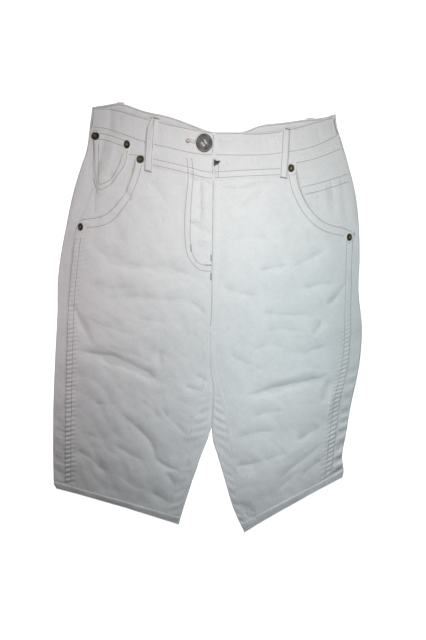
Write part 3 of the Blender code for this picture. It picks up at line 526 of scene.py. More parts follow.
def denimMaterial(name):
    look = denimLook
    made, tree, shader = startMaterial(name, {
        "Roughness": look["roughness"], "Specular IOR Level": look["specular"],
        "Sheen Weight": look["sheen"], "Sheen Roughness": look["sheenRoughness"]})
    place = objectPlace(tree)
    cloud = noise(tree, place, Scale=look["cloudScale"], Detail=8.0, Roughness=0.8)
    tone = ramp(tree, cloud, look["shade"], look["colour"], (0.35, 0.65))
    fleck = noise(tree, mapped(tree, place, Scale=look["fleckStretch"]), Detail=2.0)
    fleckTone = ramp(tree, fleck, [look["fleck"]] * 3, (1, 1, 1), (0.3, 0.7))
    # Painted shade in the creases: where the surface bends into a hollow its colour is darkened;
    # ridges and flat cloth keep their colour.
    bend = addNode(tree, "NewGeometry", {}, {}).outputs["Pointiness"]
    (hollowAt, hollowShade), (ridgeAt, ridgeShade) = look["hollow"], look["ridge"]
    creaseShade = ramp(tree, bend, [hollowShade] * 3, [ridgeShade] * 3, (hollowAt, ridgeAt))
    # The cloth's colour: random tone and flecks, times the painted crease shade.
    wornAndShaded = multiplied(tree, multiplied(tree, tone, fleckTone), creaseShade)
    tree.links.new(wornAndShaded, shader.inputs["Base Color"])
    # Slubs are long uneven yarns, the grain is the washed cloth's small pebbled surface, and
    # the twill lines run up to the right.
    slub = noise(tree, mapped(tree, place, Scale=look["slubStretch"]), Detail=3.0)
    grain = noise(tree, place, Scale=look["grainScale"], Detail=4.0)
    twillPlace = mapped(tree, place, Rotation=(0, 0, math.radians(look["twillTurn"])))
    twill = addNode(tree, "TexWave", {"Vector": twillPlace}, {
        "Scale": 1.0 / (look["twillPitch"] * mm) / 20 * 2 * math.pi, "Distortion": 0.8,
        "Detail": 1.0, "Detail Scale": 3.0}).outputs["Fac"]
    surface = bumped(tree, slub, 0.35, look["slubDepth"])
    surface = bumped(tree, grain, 0.35, look["grainDepth"], surface)
    surface = bumped(tree, twill, 0.5, look["twillDepth"], surface)
    tree.links.new(surface, shader.inputs["Normal"])
    return made


metalLooks = {
    # For metals the wornAndShaded colour is worn metal in random patches, with no painted shade.
    "bronze": {"colour": (0.045, 0.038, 0.024), "wornAndShaded": (0.19, 0.16, 0.11), "roughness": 0.42},
    "wornBronze": {"colour": (0.42, 0.30, 0.17), "wornAndShaded": (0.62, 0.50, 0.34), "roughness": 0.45},
    "gunmetal": {"colour": (0.045, 0.055, 0.06), "wornAndShaded": (0.22, 0.25, 0.25), "roughness": 0.4},
}


def metalMaterial(name, look):
    made, tree, shader = startMaterial(name, {"Metallic": 0.8, "Roughness": look["roughness"]})
    patina = noise(tree, objectPlace(tree), Scale=420.0, Detail=6.0)
    colour = ramp(tree, patina, look["colour"], look["wornAndShaded"], (0.5, 0.78))
    tree.links.new(colour, shader.inputs["Base Color"])
    tree.links.new(bumped(tree, patina, 0.3, 0.1), shader.inputs["Normal"])
    return made


threadLook = {"colour": (0.277, 0.231, 0.214), "pale": (0.60, 0.57, 0.55),
              "rust": (0.40, 0.27, 0.24), "roughness": 0.7}


def threadMaterial(name, colour):
    made, tree, shader = startMaterial(name, {"Roughness": threadLook["roughness"]})
    ply = noise(tree, objectPlace(tree), Scale=900.0)
    spun = ramp(tree, ply, [c * 0.8 for c in colour], [min(c * 1.2, 1) for c in colour])
    tree.links.new(spun, shader.inputs["Base Color"])
    return made


hornLook = {"dark": (0.055, 0.052, 0.054), "light": (0.20, 0.17, 0.16), "roughness": 0.38,
            "stretch": (90, 45, 90), "turn": 28}


# Smoked horn: soft streaks, with a dull polish.
def hornMaterial(name):
    made, tree, shader = startMaterial(name, {"Roughness": hornLook["roughness"]})
    place = mapped(tree, objectPlace(tree), Scale=hornLook["stretch"],
                   Rotation=(0, 0, math.radians(hornLook["turn"])))
    streak = noise(tree, place, Scale=1.6, Detail=5.0)
    colour = ramp(tree, streak, hornLook["dark"], hornLook["light"], (0.38, 0.72))
    tree.links.new(colour, shader.inputs["Base Color"])
    return made


denim = denimMaterial("white_twill")
bronze = metalMaterial("antique_bronze", metalLooks["bronze"])
gunmetal = metalMaterial("gunmetal", metalLooks["gunmetal"])
wornBronze = metalMaterial("worn_bronze", metalLooks["wornBronze"])
thread = threadMaterial("topstitch_thread", threadLook["colour"])
paleThread = threadMaterial("pale_thread", threadLook["pale"])
rustThread = threadMaterial("rust_thread", threadLook["rust"])
horn = hornMaterial("smoked_horn")
print("materials ready")


# Meshes.
def addObject(name, data):
    made = bpy.data.objects.new(name, data)
    bpy.context.scene.collection.objects.link(made)
    return made


def meshObject(name, points, faces, look):
    mesh = bpy.data.meshes.new(name)
    points = np.asarray(points, float) * mm
    mesh.from_pydata(points.tolist(), [], faces)
    mesh.materials.append(look)
    mesh.update()
    return addObject(name, mesh)


def smoothMesh(piece, degrees):
    piece.data.shade_smooth()
    piece.data.set_sharp_from_angle(angle=math.radians(degrees))


# A closed wall of even thickness about a grid of points (rows, columns, 3); nan where there is
# none, and openings lists the cells (row, column) that are left out.
def clothPiece(node, grid, thickness, closed=False, openings=()):
    grid = np.asarray(grid, float)
    rows, columns = grid.shape[:2]
    present = ~np.isnan(grid[:, :, 0])
    index = np.full((rows, columns), -1)
    index[present] = np.arange(present.sum())
    nextColumn = np.roll(index, -1, axis=1)
    quads = np.stack([index[:-1], index[1:], nextColumn[1:], nextColumn[:-1]], axis=-1)
    if not closed:
        quads = quads[:, :-1]
    for row, column in openings:
        quads[row, column] = -1
    quads = quads.reshape(-1, 4)
    quads = quads[(quads >= 0).all(axis=1)]
    middle = bpy.data.meshes.new("middle")
    middle.from_pydata(grid[present].tolist(), [], quads.tolist())
    normals = np.zeros(len(middle.vertices) * 3, np.float32)
    middle.vertex_normals.foreach_get("vector", normals)
    normals = normals.reshape(-1, 3) * thickness / 2
    count = len(normals)
    area = sum(face.area for face in middle.polygons)
    bpy.data.meshes.remove(middle)
    sides = {(int(a), int(b)) for quad in quads for a, b in zip(quad, np.roll(quad, -1))}
    rim = [(b, a, a + count, b + count) for a, b in sorted(sides) if (b, a) not in sides]
    faces = quads.tolist() + (quads[:, ::-1] + count).tolist() + rim
    points = np.concatenate([grid[present] + normals, grid[present] - normals])
    piece = meshObject(node + "_twill", points, faces, denim)
    smoothMesh(piece, 50)
    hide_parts(node)
    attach(piece, "shorts")
    box = grid[present]
    print(node, len(points), "points, area %.4f," % (area * mm * mm),
          "box", (box.max(axis=0) - box.min(axis=0)).round(0))
    return piece


# Straight rows between two lines with the same number of points.
def between(first, second, shares):
    first, second = np.asarray(first, float), np.asarray(second, float)
    shares = np.asarray(shares)[None, :, None]
    return first[:, None, :] * (1 - shares) + second[:, None, :] * shares


def withHeight(flat, height):
    return np.concatenate([flat, height[:, :, None]], axis=2)


# A row's ends, on the outer fold and at the centre or inner fold; along is 0 at the waist, 1 at
# the crotch and 2 at the hem.
def legRow(side, along):
    outerY, innerY = hemSeam[side]
    if along <= 1:
        outerY = waistY[side] + (crotchFoldY - waistY[side]) * along
        innerY = centreWaistY + (crotchY - centreWaistY) * along
    else:
        outerY = crotchFoldY + (outerY - crotchFoldY) * (along - 1)
        innerY = crotchY + (innerY - crotchY) * (along - 1)
    return (np.array([float(lineAt(outerFold[side], outerY)), outerY]),
            np.array([float(centreX(side, innerY)), innerY]))


# Distance from the fold, along a row, to a lengthwise line.
def onRow(fold, inner, line):
    share = 0.1
    for _ in range(8):
        y = fold[1] + (inner[1] - fold[1]) * share
        share = (float(line(y)) - fold[0]) / (inner[0] - fold[0])
    return share * math.dist(fold, inner)


# Where a crosswise line, given as a function of x, meets the side seam.
def seamEnd(side, heightAt):
    x = sideSeam[side][2][1]
    for _ in range(12):
        x = float(seamX(side, float(heightAt(x)))) - outward[side] * seamGap
    return x


# Small folds across a seam, as a height at a gap from it and a reach along it.
def puckers(gap, reach, period, depth, middle, spread, slant=0.4, seed=1.0):
    wobble = 1.3 * np.sin(reach / 23.0 + seed) + 0.9 * np.sin(reach / 9.7 + 2 * seed)
    wave = np.sin(2 * math.pi * (reach + slant * gap) / period + wobble)
    strength = 0.65 + 0.35 * np.sin(reach / 41.0 + 3 * seed)
    return depth * strength * wave * np.exp(-((gap - middle) / spread) ** 2)


# The small trough that a row of stitches pulls.
def groove(gap, depth=0.22, wide=1.1):
    return -depth * np.exp(-(gap / wide) ** 2)


# Cloth rolls down at a folded edge.
def rolled(edge, depth=0.45, reach=2.0):
    return -depth * np.clip(1 - np.abs(edge) / reach, 0, 1) ** 2


panelLook = {
    "sidePitch": 6.3, "sidePucker": 0.85, "sideStrip": 10.5, "stripRise": 0.35,
    "bars": {"right": {"slant": 0.25, "least": 0.45, "more": 0.55, "from": 60},
             "left": {"slant": -0.7, "least": 0.25, "more": 0.45, "from": 40}},
    "scoopPucker": 0.14, "scoopPitch": 9.0,
    "scoopRow": {"right": (10.2, 3.6), "left": (11.6, 0.6)},    # at the yoke, and what it gains
    "inseamPitch": 14.0, "inseamPucker": 1.25,
    "yokePitch": 6.5, "yokePucker": 0.16,
    "flyBottom": 70.0, "flyUnderlap": -10.0,    # y, x
    "cuts": {
        "right": {"flat": (0.215, 0.465), "area": 0.083},
        "left": {"flat": (0.235, 0.480), "area": 0.085},
    },
}
sideLines = {side: lengthwise(table, 0, 266, -232, 120) for side, table in sideSeam.items()}
inseamLines = {side: lengthwise(table, 0, crotchY, -300, 60) for side, table in inseam.items()}


# Short raised bars across the side seam's double stitching, stronger down the leg.
def sideBars(side, reach, gap, y):
    look = panelLook["bars"][side]
    wobble = 1.1 * np.sin(reach / 31.0 + 1.0) + 0.8 * np.sin(reach / 12.7 + 2.0)
    wave = np.sin(2 * math.pi * (reach + look["slant"] * gap) / panelLook["sidePitch"] + wobble)
    down = look["least"] + look["more"] * ease(look["from"], -60, y)
    return panelLook["sidePucker"] * down * (wave + 0.25 * np.abs(wave))


# What sewing does to the front: raised side seam strip, stitch grooves, puckers.
def frontSewing(side, x, y):
    gap, reach, _ = fromLine(sideLines[side], x, y)
    gap = np.abs(gap)
    strip = panelLook["sideStrip"]
    height = panelLook["stripRise"] * ease(strip + 2.0, strip, gap) * ease(-232, -222, y)
    height += groove(gap - 1.6) + groove(gap - strip + 0.8)
    rowGap = np.abs(gap - 5.6)    # bars between the two rows, and shorter ones beyond the inner row
    bars = np.exp(-(rowGap / 3.6) ** 4) + 0.6 * np.exp(-((gap - 12.6) / 2.4) ** 2)
    height += sideBars(side, reach, gap, y) * bars
    scoopGap, scoopReach, _ = fromLine(scoopLine[side], x, y)
    inside = -scoopGap * outward[side]
    wide = scoopStitchGap(side, scoopReach)
    height += np.where(inside > -0.5, groove(inside - 1.6) + groove(inside - wide, 0.25, 1.4), 0)
    height += puckers(inside, scoopReach, panelLook["scoopPitch"], panelLook["scoopPucker"],
                      wide / 2, 5.0)
    seam = np.abs(fromLine(inseamLines[side], x, y)[0])
    height += np.where(y < crotchY, 0.3 * ease(6.0, 1.0, seam) + groove(seam - 1.4, 0.3), 0.0)
    if side == "left":    # the thick start of the inseam
        height += 0.5 * np.exp(-((seam - 1.8) / 1.7) ** 2) * ease(-28, -45, y) * ease(-140, -115, y)
    below = lineAt(yokeSeam, x) - y
    height -= (1.1 + 0.35 * np.sin(x / 2.1 + 2 * np.sin(x / 9.0))) * np.exp(-(below / 2.0) ** 2)
    atYoke = puckers(below, x, panelLook["yokePitch"], panelLook["yokePucker"], 4.0, 5.0,
                     slant=0.2, seed=1.4)
    height += atYoke * (inside > 0)
    return height


# The inner row of scoop stitching stands further in towards the side seam.
def scoopStitchGap(side, reach):
    near, gain = panelLook["scoopRow"][side]
    return near + gain * ease(40, 100, reach)


# From the yoke seam and the scoop to the hem, between the side seam and centre or inseam.
def frontPanel(side):
    edge = scoopLine[side].copy()
    edge[:, 0] -= outward[side] * seamGap
    edge[-1, 0] = float(seamX(side, edge[-1, 1])) - outward[side] * seamGap
    lap, flyBottom = panelLook["flyUnderlap"], panelLook["flyBottom"]

    def innerEdge(y):
        line = float(lineAt(centreLine, y)) + outward[side] * seamGap
        if side == "right":
            return line
        return line + (lap - line) * float(ease(flyBottom + 4, flyBottom + 10, y))

    outer, inside = [], []
    startY, endY = float(lineAt(yokeSeam, 7.0)) - 2 * seamGap, 104.0
    scoopSteps = 84
    for k, point in enumerate(walk(edge, scoopSteps)[:-1]):    # rows that start on the scoop
        y = startY + (endY - startY) * k / scoopSteps
        outer.append(point)
        inside.append((innerEdge(y), y))
    inside[0] = (inside[0][0], float(lineAt(yokeSeam, inside[0][0])) - 2 * seamGap)
    # Rows from the scoop's end down to the crotch, and on to the hem.
    for along in [*np.linspace(0.53, 1.0, 96)[:-1], 0.9995, *np.linspace(1.0, 2.0, 190)]:
        fold, inner = legRow(side, along)
        length = math.dist(fold, inner)
        heading = (inner - fold) / length
        seam = onRow(fold, inner, lambda y: seamX(side, y)) + seamGap
        end = length - seamGap
        if along >= 1:
            end = onRow(fold, inner, lambda y: inseamX(side, y)) - seamGap
        outer.append(fold + heading * seam)
        x, y = fold + heading * end
        inside.append((innerEdge(y) if along < 1 else x, y))
    shares = steps(190, 2.5, 1.0, 16, 6)
    flat = between(outer, inside, shares)
    flat[0, :, 1] = lineAt(yokeSeam, flat[0, :, 0]) - 2 * seamGap
    x, y = flat.transpose(2, 0, 1)
    height = frontBase(side, x, y) + frontSewing(side, x, y) + denimThick / 2
    if side == "right":    # the fly's folded edge
        height += rolled(lineAt(centreLine, y) - x, 0.16, 1.2) * (y > crotchY)
    scoopGap = fromLine(scoopLine[side], x, y)[0]
    height += rolled(scoopGap, 0.4)
    return clothPiece("front_panel_" + side, withHeight(flat, height), denimThick)


halfTurn = [math.pi * k / 8 for k in range(9)]    # round a fold, from its top to its underside
backLook = {
    "floorSteps": 46, "footGap": 0.05,
    "pocketStand": 2.2,    # the right fold stands up beside the pocket
    "sidePucker": 0.2, "curl": {"right": 0.6, "left": 2.4}, "curlPitch": 18.5,
    "cuts": {
        "right": {"flat": (0.27, 0.50), "area": 0.117},
        "left": {"flat": (0.27, 0.51), "area": 0.104},
    },
}


# Flat on the floor, up round the outer fold to the side seam, and below the crotch to the inseam.
def backPanel(side):
    middle = denimThick / 2
    radius = foldRadius - middle
    floorSteps, footGap = backLook["floorSteps"], backLook["footGap"]
    alongs = np.array([*np.linspace(0, 1, 100)[:-1], 0.9995, *np.linspace(1, 2, 130)])
    rows, kinds = [], []
    for along in alongs:
        fold, inner = legRow(side, along)
        length = math.dist(fold, inner)
        heading = (inner - fold) / length
        seam = onRow(fold, inner, lambda y: seamX(side, y)) - seamGap
        # Distances along the row, the centres that they turn round, and what each point is.
        path = list(np.linspace(seam, foldRadius, 7)[:-1])
        centres = path[:]
        kind = [("top", 0)] * 6
        path += [foldRadius - radius * math.sin(turn) for turn in halfTurn]
        centres += [foldRadius] * len(halfTurn)
        kind += [("turned", turn) for turn in halfTurn]
        legs = along >= 1    # the two legs touch below the crotch
        shift = float(ease(1.0, 0.985, along))    # off the front's seam, so no floor shows through
        end = length + footGap - (seamGap + footGap + outward[side] * 1.2) * shift
        floorEnd = length + footGap - foldRadius if legs else end
        floor = [foldRadius + (floorEnd - foldRadius) * k / floorSteps
                 for k in range(1, floorSteps + (0 if legs else 1))]
        if legs:
            turned = onRow(fold, inner, lambda y: inseamX(side, y)) + seamGap
            strip = list(np.linspace(floorEnd, turned, 7)[1:])
            floor.append(floorEnd)
            up = halfTurn[-2::-1]
            path += floor + [floorEnd + radius * math.sin(turn) for turn in up] + strip
            centres += floor + [floorEnd] * len(up) + strip
            kind += [("floor", 0)] * len(floor) + [("turned", turn) for turn in up]
            kind += [("top", 0)] * 6
        else:
            path += floor + [np.nan] * 14
            centres += floor + [np.nan] * 14
            kind += [("floor", 0)] * len(floor) + [("none", 0)] * 14
        rows.append([start + step * np.array(distances) for distances in (path, centres)
                     for start, step in zip(fold, heading)])
        kinds.append(kind)
    x, y, cx, cy = np.array(rows).transpose(1, 0, 2)
    top = frontBase(side, cx, cy) + middle
    # Puckers on the turned strips beside the two seams.
    gap, reach, _ = fromLine(sideLines[side], cx, cy)
    gap = np.abs(gap)
    top = top + puckers(gap, reach, panelLook["sidePitch"], backLook["sidePucker"], 0, 8.0)
    if side == "right":
        stand = backLook["pocketStand"] * ease(2, 15, gap)
        top = top + stand * ease(100, 145, cy) * ease(262, 235, cy)
    curl = puckers(gap, reach, backLook["curlPitch"], backLook["curl"][side], 8.0, 6.0,
                   slant=0.7, seed=0.6)
    top = top + curl * ease(-40, -90, cy)
    gap, reach, _ = fromLine(inseamLines[side], cx, cy)
    top = top + puckers(np.abs(gap), reach, panelLook["inseamPitch"],
                        panelLook["inseamPucker"], 8.0, 8.0, slant=0.9, seed=2.0) \
        * (0.12 + 0.88 * ease(-95, -150, cy))
    top = keptAbove(clothLow + middle, top)
    height = np.full(x.shape, np.nan)
    for i, kind in enumerate(kinds):
        for j, (level, turn) in enumerate(kind):
            if level == "top":
                height[i, j] = top[i, j]
            elif level == "floor":
                height[i, j] = middle
            elif level == "turned":
                centre = (top[i, j] + middle) / 2
                height[i, j] = centre + (top[i, j] - centre) * math.cos(turn)
    fold, inner = legRow(side, 0.0)
    share = (x - fold[0]) / (inner[0] - fold[0])
    bow = lineAt(waistSeam, x) - seamGap - fold[1] - (inner[1] - fold[1]) * share
    down = alongs[:, None]
    y = y + np.where(down < 1, bow * ease(0.3, 0.0, down), 0)
    height = height + np.where(height < foldRadius, backLift(x, y), 0)
    grid = np.stack([x, y, height], axis=2)
    return clothPiece("back_panel_" + side, grid, denimThick)


yokeLook = {
    "rows": (2.4, 10.8),    # stitching above the seam
    "strip": 0.3, "pucker": 0.14,
    "cuts": {
        "right": {"flat": (0.175, 0.052), "area": 0.0052},
        "left": {"flat": (0.205, 0.045), "area": 0.0052},
    },
}


# The band below the waistband; beyond the scoop's end it is narrower and meets the facing.
def yoke(side):
    stepX = scoop[side][0][0]
    away = outward[side]

    def level(x, share):
        x = np.asarray(x, float)
        low = np.where((x - stepX) * away > 0, lineAt(hipSeam[side], x), lineAt(yokeSeam, x))
        high = lineAt(waistSeam, x) - seamGap
        return high + (low + seamGap - high) * share

    flyX = float(lineAt(centreLine, 205.0)) - seamGap if side == "right" \
        else panelLook["flyUnderlap"]
    rows = []
    for share in np.linspace(0, 1, 25):
        end = seamEnd(side, lambda x: level(x, share))
        xs = np.concatenate([np.linspace(end, stepX + 0.3 * away, 44),
                             np.linspace(stepX - 0.3 * away, flyX, 96)])
        rows.append(np.column_stack([xs, level(xs, share)]))
    flat = np.array(rows)
    x, y = flat.transpose(2, 0, 1)
    height = frontBase(side, x, y) + yokeSewing(side, x, y) + denimThick / 2
    if side == "right":
        height += rolled(lineAt(centreLine, y) - x, 0.16, 1.2)
    return clothPiece("yoke_" + side, withHeight(flat, height), denimThick)


def yokeSewing(side, x, y):
    atHip = (x - scoop[side][0][0]) * outward[side] > 0
    above = y - np.where(atHip, lineAt(hipSeam[side], x), lineAt(yokeSeam, x))
    first, second = yokeLook["rows"]
    height = yokeLook["strip"] * ease(13.0, 11.0, above) + groove(above - first)
    height = height + np.where(atHip, 0, groove(above - second))
    height += puckers(above, x, 7.0, yokeLook["pucker"], 6.0, 5.0, slant=0.2)
    below = lineAt(waistSeam, x) - y
    height += puckers(below, x, 8.5, yokeLook["pucker"], 4.0, 6.0, slant=-0.2, seed=2.2)
    return height - 0.45 * ease(2.2, 0.0, above) - 0.45 * np.exp(-(below / 2.2) ** 2)


# How far each facing reaches under the front panel: at the top, more below, and from where.
facingLook = {
    "right": {"top": hipSeam["right"], "least": -0.6, "more": 11.0, "grows": (0.12, 0.4),
              "cut": {"flat": (0.085, 0.115), "area": 0.0052}},
    "left": {"top": hipBandSeam, "least": 0.6, "more": 9.8, "grows": (0.0, 0.3),
             "cut": {"flat": (0.090, 0.085), "area": 0.0040}},
}


# The part of the pocket that shows between the scoop and the side seam.
def hipFacing(side):
    look = facingLook[side]
    top = look["top"]
    count = 48
    line = walk(scoop[side], 4 * count)
    start = next(i for i, (x, y) in enumerate(line) if y < float(lineAt(top, x)) - 0.5)
    inside = []
    for k in range(count + 1):
        i = start + (4 * count - 3 - start) * k // count
        here, after = line[i], line[min(i + 4, len(line) - 1)]
        heading = (after - here) / math.dist(here, after)
        share = k / count
        grown = float(ease(*look["grows"], share) * ease(1.15, 0.8, share))
        deep = (look["least"] + look["more"] * grown) * outward[side]
        inside.append((here[0] + heading[1] * deep, here[1] - heading[0] * deep))
    inside[0] = (inside[0][0], float(lineAt(top, inside[0][0])) - seamGap)
    topY = float(lineAt(top, seamEnd(side, lambda x: lineAt(top, x) - seamGap))) - seamGap
    bottomY = scoop[side][-1][1] + 4.0
    outerY = np.linspace(topY, bottomY, count + 1)
    outer = np.column_stack([seamX(side, outerY) - outward[side] * seamGap, outerY])
    flat = between(outer, inside, np.linspace(0, 1, 40))
    flat[0, :, 1] = lineAt(top, flat[0, :, 0]) - seamGap
    x, y = flat.transpose(2, 0, 1)
    height = facingBase(side, x, y) + denimThick / 2
    return clothPiece("hip_facing_" + side, withHeight(flat, height), denimThick)


hipBandLook = {"rows": (2.2, 12.8), "pitch": 6.3, "pucker": 0.22,
               "cut": {"flat": (0.085, 0.050), "area": 0.0032}}


# The upper part of the left facing, sewn to the lower part with two rows.
def hipBand():
    scoopX = [(y, x) for x, y in scoopLine["left"]]

    def level(x, share):
        high, low = lineAt(hipSeam["left"], x) - seamGap, lineAt(hipBandSeam, x) + seamGap
        return high + (low - high) * share

    rows = []
    for share in np.linspace(0, 1, 30):
        start = scoop["left"][0][0]
        for _ in range(12):
            start = float(lineAt(scoopX, float(level(start, share)))) + 0.7
        xs = np.linspace(start, seamEnd("left", lambda x: level(x, share)), 48)
        rows.append(np.column_stack([xs, level(xs, share)]))
    flat = np.array(rows)
    x, y = flat.transpose(2, 0, 1)
    above = y - lineAt(hipBandSeam, x)
    height = facingBase("left", x, y) + denimThick / 2
    for row in hipBandLook["rows"]:
        height = height + groove(above - row)
    height += puckers(above, x, hipBandLook["pitch"], hipBandLook["pucker"], 7.5, 5.0, slant=0.2) \
        - 0.35 * ease(1.6, 0.0, above)
    return clothPiece("hip_band_left", withHeight(flat, height), denimThick)


coinPocketLook = {"left": [(-160.4, 260.0), (-160.2, 235.0), (-160.2, 205.0), (-158.8, 188.0),
                           (-155.6, 175.8)],
                  "right": [(-107.6, 246.6), (-110.8, 234.0), (-114.4, 213.0), (-127.7, 192.3),
                            (-141.7, 179.1), (-152.6, 174.8)],
                  "cut": {"flat": (0.056, 0.088), "area": 0.0034}}


# It lies on the facing, and on the yoke at its top.
def coinPocketBase(x, y):
    atYoke = ease(-6, 4, y - lineAt(hipSeam["right"], x))
    low, high = facingBase("right", x, y), frontBase("right", x, y)
    base = np.maximum(low, low + (high - low) * atYoke) + denimThick + layGap + 0.15
    return base + 0.4 + creaseHeight("coin", x, y) * 0.6


def coinPocket():
    flat = between(walk(coinPocketLook["left"], 56), walk(coinPocketLook["right"], 56),
                   np.linspace(0, 1, 36))
    flat[0, :, 1] = lineAt(waistSeam, flat[0, :, 0]) - 3.0
    x, y = flat.transpose(2, 0, 1)
    height = coinPocketBase(x, y) + denimThick / 2
    for edge in (walk(coinPocketLook["left"], 24), walk(coinPocketLook["right"], 24)):
        gap = np.abs(fromLine(edge, x, y)[0])
        height += rolled(gap, 0.5, 2.2) + groove(gap - 2.4, 0.2, 1.0)
    return clothPiece("coin_pocket", withHeight(flat, height), denimThick)


bandLook = {
    "ends": {"right": (-163, 8), "left": (-24.0, 177)},    # x; the left one lies under the right
    "backTop": {"right": 295.0, "left": 285.0},    # y of the back's top edge at each fold
    "rows": (2.0, 2.2), "rolled": 0.5,    # stitch grooves above the seam and below the top
    "cuts": {
        "right": {"flat": (0.176, 0.070), "area": 0.0063},
        "left": {"flat": (0.204, 0.070), "area": 0.0072},
        "back": {"flat": (0.360, 0.060), "area": 0.0145},
    },
}


# Two rows of stitching, puckers at both edges and a few wide ones across the band.
def bandSewing(side, x, y):
    above = y - lineAt(waistSeam, x)
    below = lineAt(waistTop, x) - y
    low, high = bandLook["rows"]
    height = groove(above - low) + groove(below - high)
    height = height + rolled(above, bandLook["rolled"]) + rolled(below, bandLook["rolled"])
    height += puckers(above, x, 8.0, 0.14, 2.0, 6.0, slant=0.3)
    height += puckers(below, x, 9.0, 0.12, 2.0, 6.0, slant=-0.3, seed=1.7)
    height += puckers(above, x, 11.0, 0.1, 18.0, 14.0, slant=0.1, seed=2.6)
    if side == "right":
        height = height + rolled(lineAt(centreLine, y) - x, bandLook["rolled"])
    return height


buttonhole = {"start": (-28.6, 247.7), "end": (-4.0, 244.0), "slit": 0.5, "eye": 1.5,
              "lips": [0.485, 0.51],    # shares of the band's depth
              "bars": 30, "barStart": 1.8, "barPitch": 0.66, "barEnd": 2.9,
              "eyeThreads": 15, "eyeReach": (1.5, 3.5), "eyeStart": 62, "eyeTurn": 236}


def waistband(side):
    xs = np.linspace(*bandLook["ends"][side], 150)
    top = np.column_stack([xs, lineAt(waistTop, xs)])
    bottom = np.column_stack([xs, lineAt(waistSeam, xs) + seamGap])
    shares = list(steps(34, 1.5, 0.8, 4, 4))
    openings = []
    if side == "right":    # two rows are drawn to the slit's lips
        lips = buttonhole["lips"]
        shares = sorted([share for share in shares if abs(share - sum(lips) / 2) > 0.03] + lips)
        slit = shares.index(lips[0])
    flat = between(top, bottom, shares)
    outer = 0 if side == "right" else -1
    endY = flat[outer, :, 1]
    flat[outer, :, 0] = lineAt(outerFold[side], endY) - outward[side] * (bandFold + 1.1)
    if side == "right":
        flat[-1, :, 0] = lineAt(centreLine, flat[-1, :, 1])
        (ax, ay), (bx, by) = buttonhole["start"], buttonhole["end"]
        for i, x in enumerate(flat[:, slit, 0]):
            if ax - 1.6 <= x <= bx + 0.6:
                middle = ay + (by - ay) * (x - ax) / (bx - ax)
                lip = buttonhole["slit"] + (buttonhole["eye"] - buttonhole["slit"]) \
                    * math.exp(-((x - ax) / 1.3) ** 2)
                flat[i, slit, 1], flat[i, slit + 1, 1] = middle + lip, middle - lip
                openings.append((i, slit))
    x, y = flat.transpose(2, 0, 1)
    height = bandBase(side, x, y) + bandSewing(side, x, y) + bandThick / 2
    return clothPiece("waistband_" + side, withHeight(flat, height), bandThick,
                      openings=openings)


# Round the fold at each side, and along the back between them.
def waistbandBack():
    middle = bandThick / 2
    radius = bandFold - middle
    shares = np.linspace(0, 1, 15)

    def foldAt(side):
        topY = bandLook["backTop"][side]
        y = topY + (waistY[side] + seamGap - topY) * shares
        x = lineAt(outerFold[side], y) - outward[side] * bandFold
        top = bandHeight + drift(x, y) + middle
        centre = (top + middle) / 2
        return x, [np.stack([x + outward[side] * radius * math.sin(turn), y,
                             centre + (top - centre) * math.cos(turn)], axis=1)
                   for turn in halfTurn]

    start, columns = foldAt("right")
    end, endColumns = foldAt("left")
    for k in range(1, 140):
        x = start + (end - start) * k / 140
        top, bottom = lineAt(backTop, x), lineAt(waistSeam, x) + 5 * seamGap
        y = top + (bottom - top) * shares
        columns.append(np.stack([x, y, middle + backLift(x, y)], axis=1))
    columns += endColumns[::-1]
    return clothPiece("waistband_back", np.stack(columns, axis=1), bandThick)


hemLook = {
    "ridge": 1.2, "fall": {"right": 1.1, "left": 0.3}, "deep": 11,
    "puckerPitch": 5.2, "puckerHeight": 0.34, "stitchRow": 8.6,
    "cuts": {
        "right": {"flat": (0.375, 0.030), "area": 0.0040},
        "left": {"flat": (0.345, 0.030), "area": 0.0036},
    },
}


# A flattened ring: round the outer fold, along the floor, round the inner fold and back on top.
def hem(side):
    middle = hemThick / 2 + 0.03
    turnRadius = foldRadius + 0.1
    radius = turnRadius - hemThick / 2
    start, end = legRow(side, 2.0), hemEdge[side]
    count = 90
    rows = []
    for share in np.linspace(0.012, 1.0, 16):
        fold = start[0] + (np.array(end[0]) - start[0]) * np.array([share ** 2.2, share])
        inner = start[1] + (np.array(end[1]) - start[1]) * share
        length = math.dist(fold, inner)
        heading = (inner - fold) / length
        near, far = turnRadius, length - foldRadius - 0.1
        flat = [near + (far - near) * k / count for k in range(1, count)]
        path = [(near - radius * math.sin(turn), near, math.cos(turn)) for turn in halfTurn]
        path += [(d, d, -1.0) for d in flat]
        path += [(far + radius * math.sin(turn), far, math.cos(turn)) for turn in halfTurn[::-1]]
        path += [(d, d, 1.0) for d in flat[::-1]]
        d, centre, level = np.array(path).T
        bow = 1.5 * share * 4 * (d / length) * (1 - d / length)
        x, y = fold[0] + heading[0] * d, fold[1] + heading[1] * d
        cx, cy = fold[0] + heading[0] * centre, fold[1] + heading[1] * centre
        top = frontHeight + denimThick - hemThick + middle + creaseHeight(side, cx, cy) \
            + drift(cx, cy) + crumpled(side, cx, cy)
        top = top + hemLook["ridge"] * ease(-0.04, 0.2, share) - hemLook["fall"][side] * share - 0.2
        down = share * hemLook["deep"]
        top = top + puckers(down - 5, centre, hemLook["puckerPitch"], hemLook["puckerHeight"],
                            0, 12, slant=0.6, seed=3.0)
        top = top + groove(down - hemLook["stitchRow"], 0.25, 1.2)
        top = np.maximum(top, middle + hemThick + 0.15)
        mid = (top + middle) / 2
        z = np.where(level < -0.999, middle, mid + (top - mid) * level)
        rows.append(np.stack([x, y + bow, z], axis=1))
    return clothPiece("hem_" + side, np.stack(rows), hemThick, closed=True)


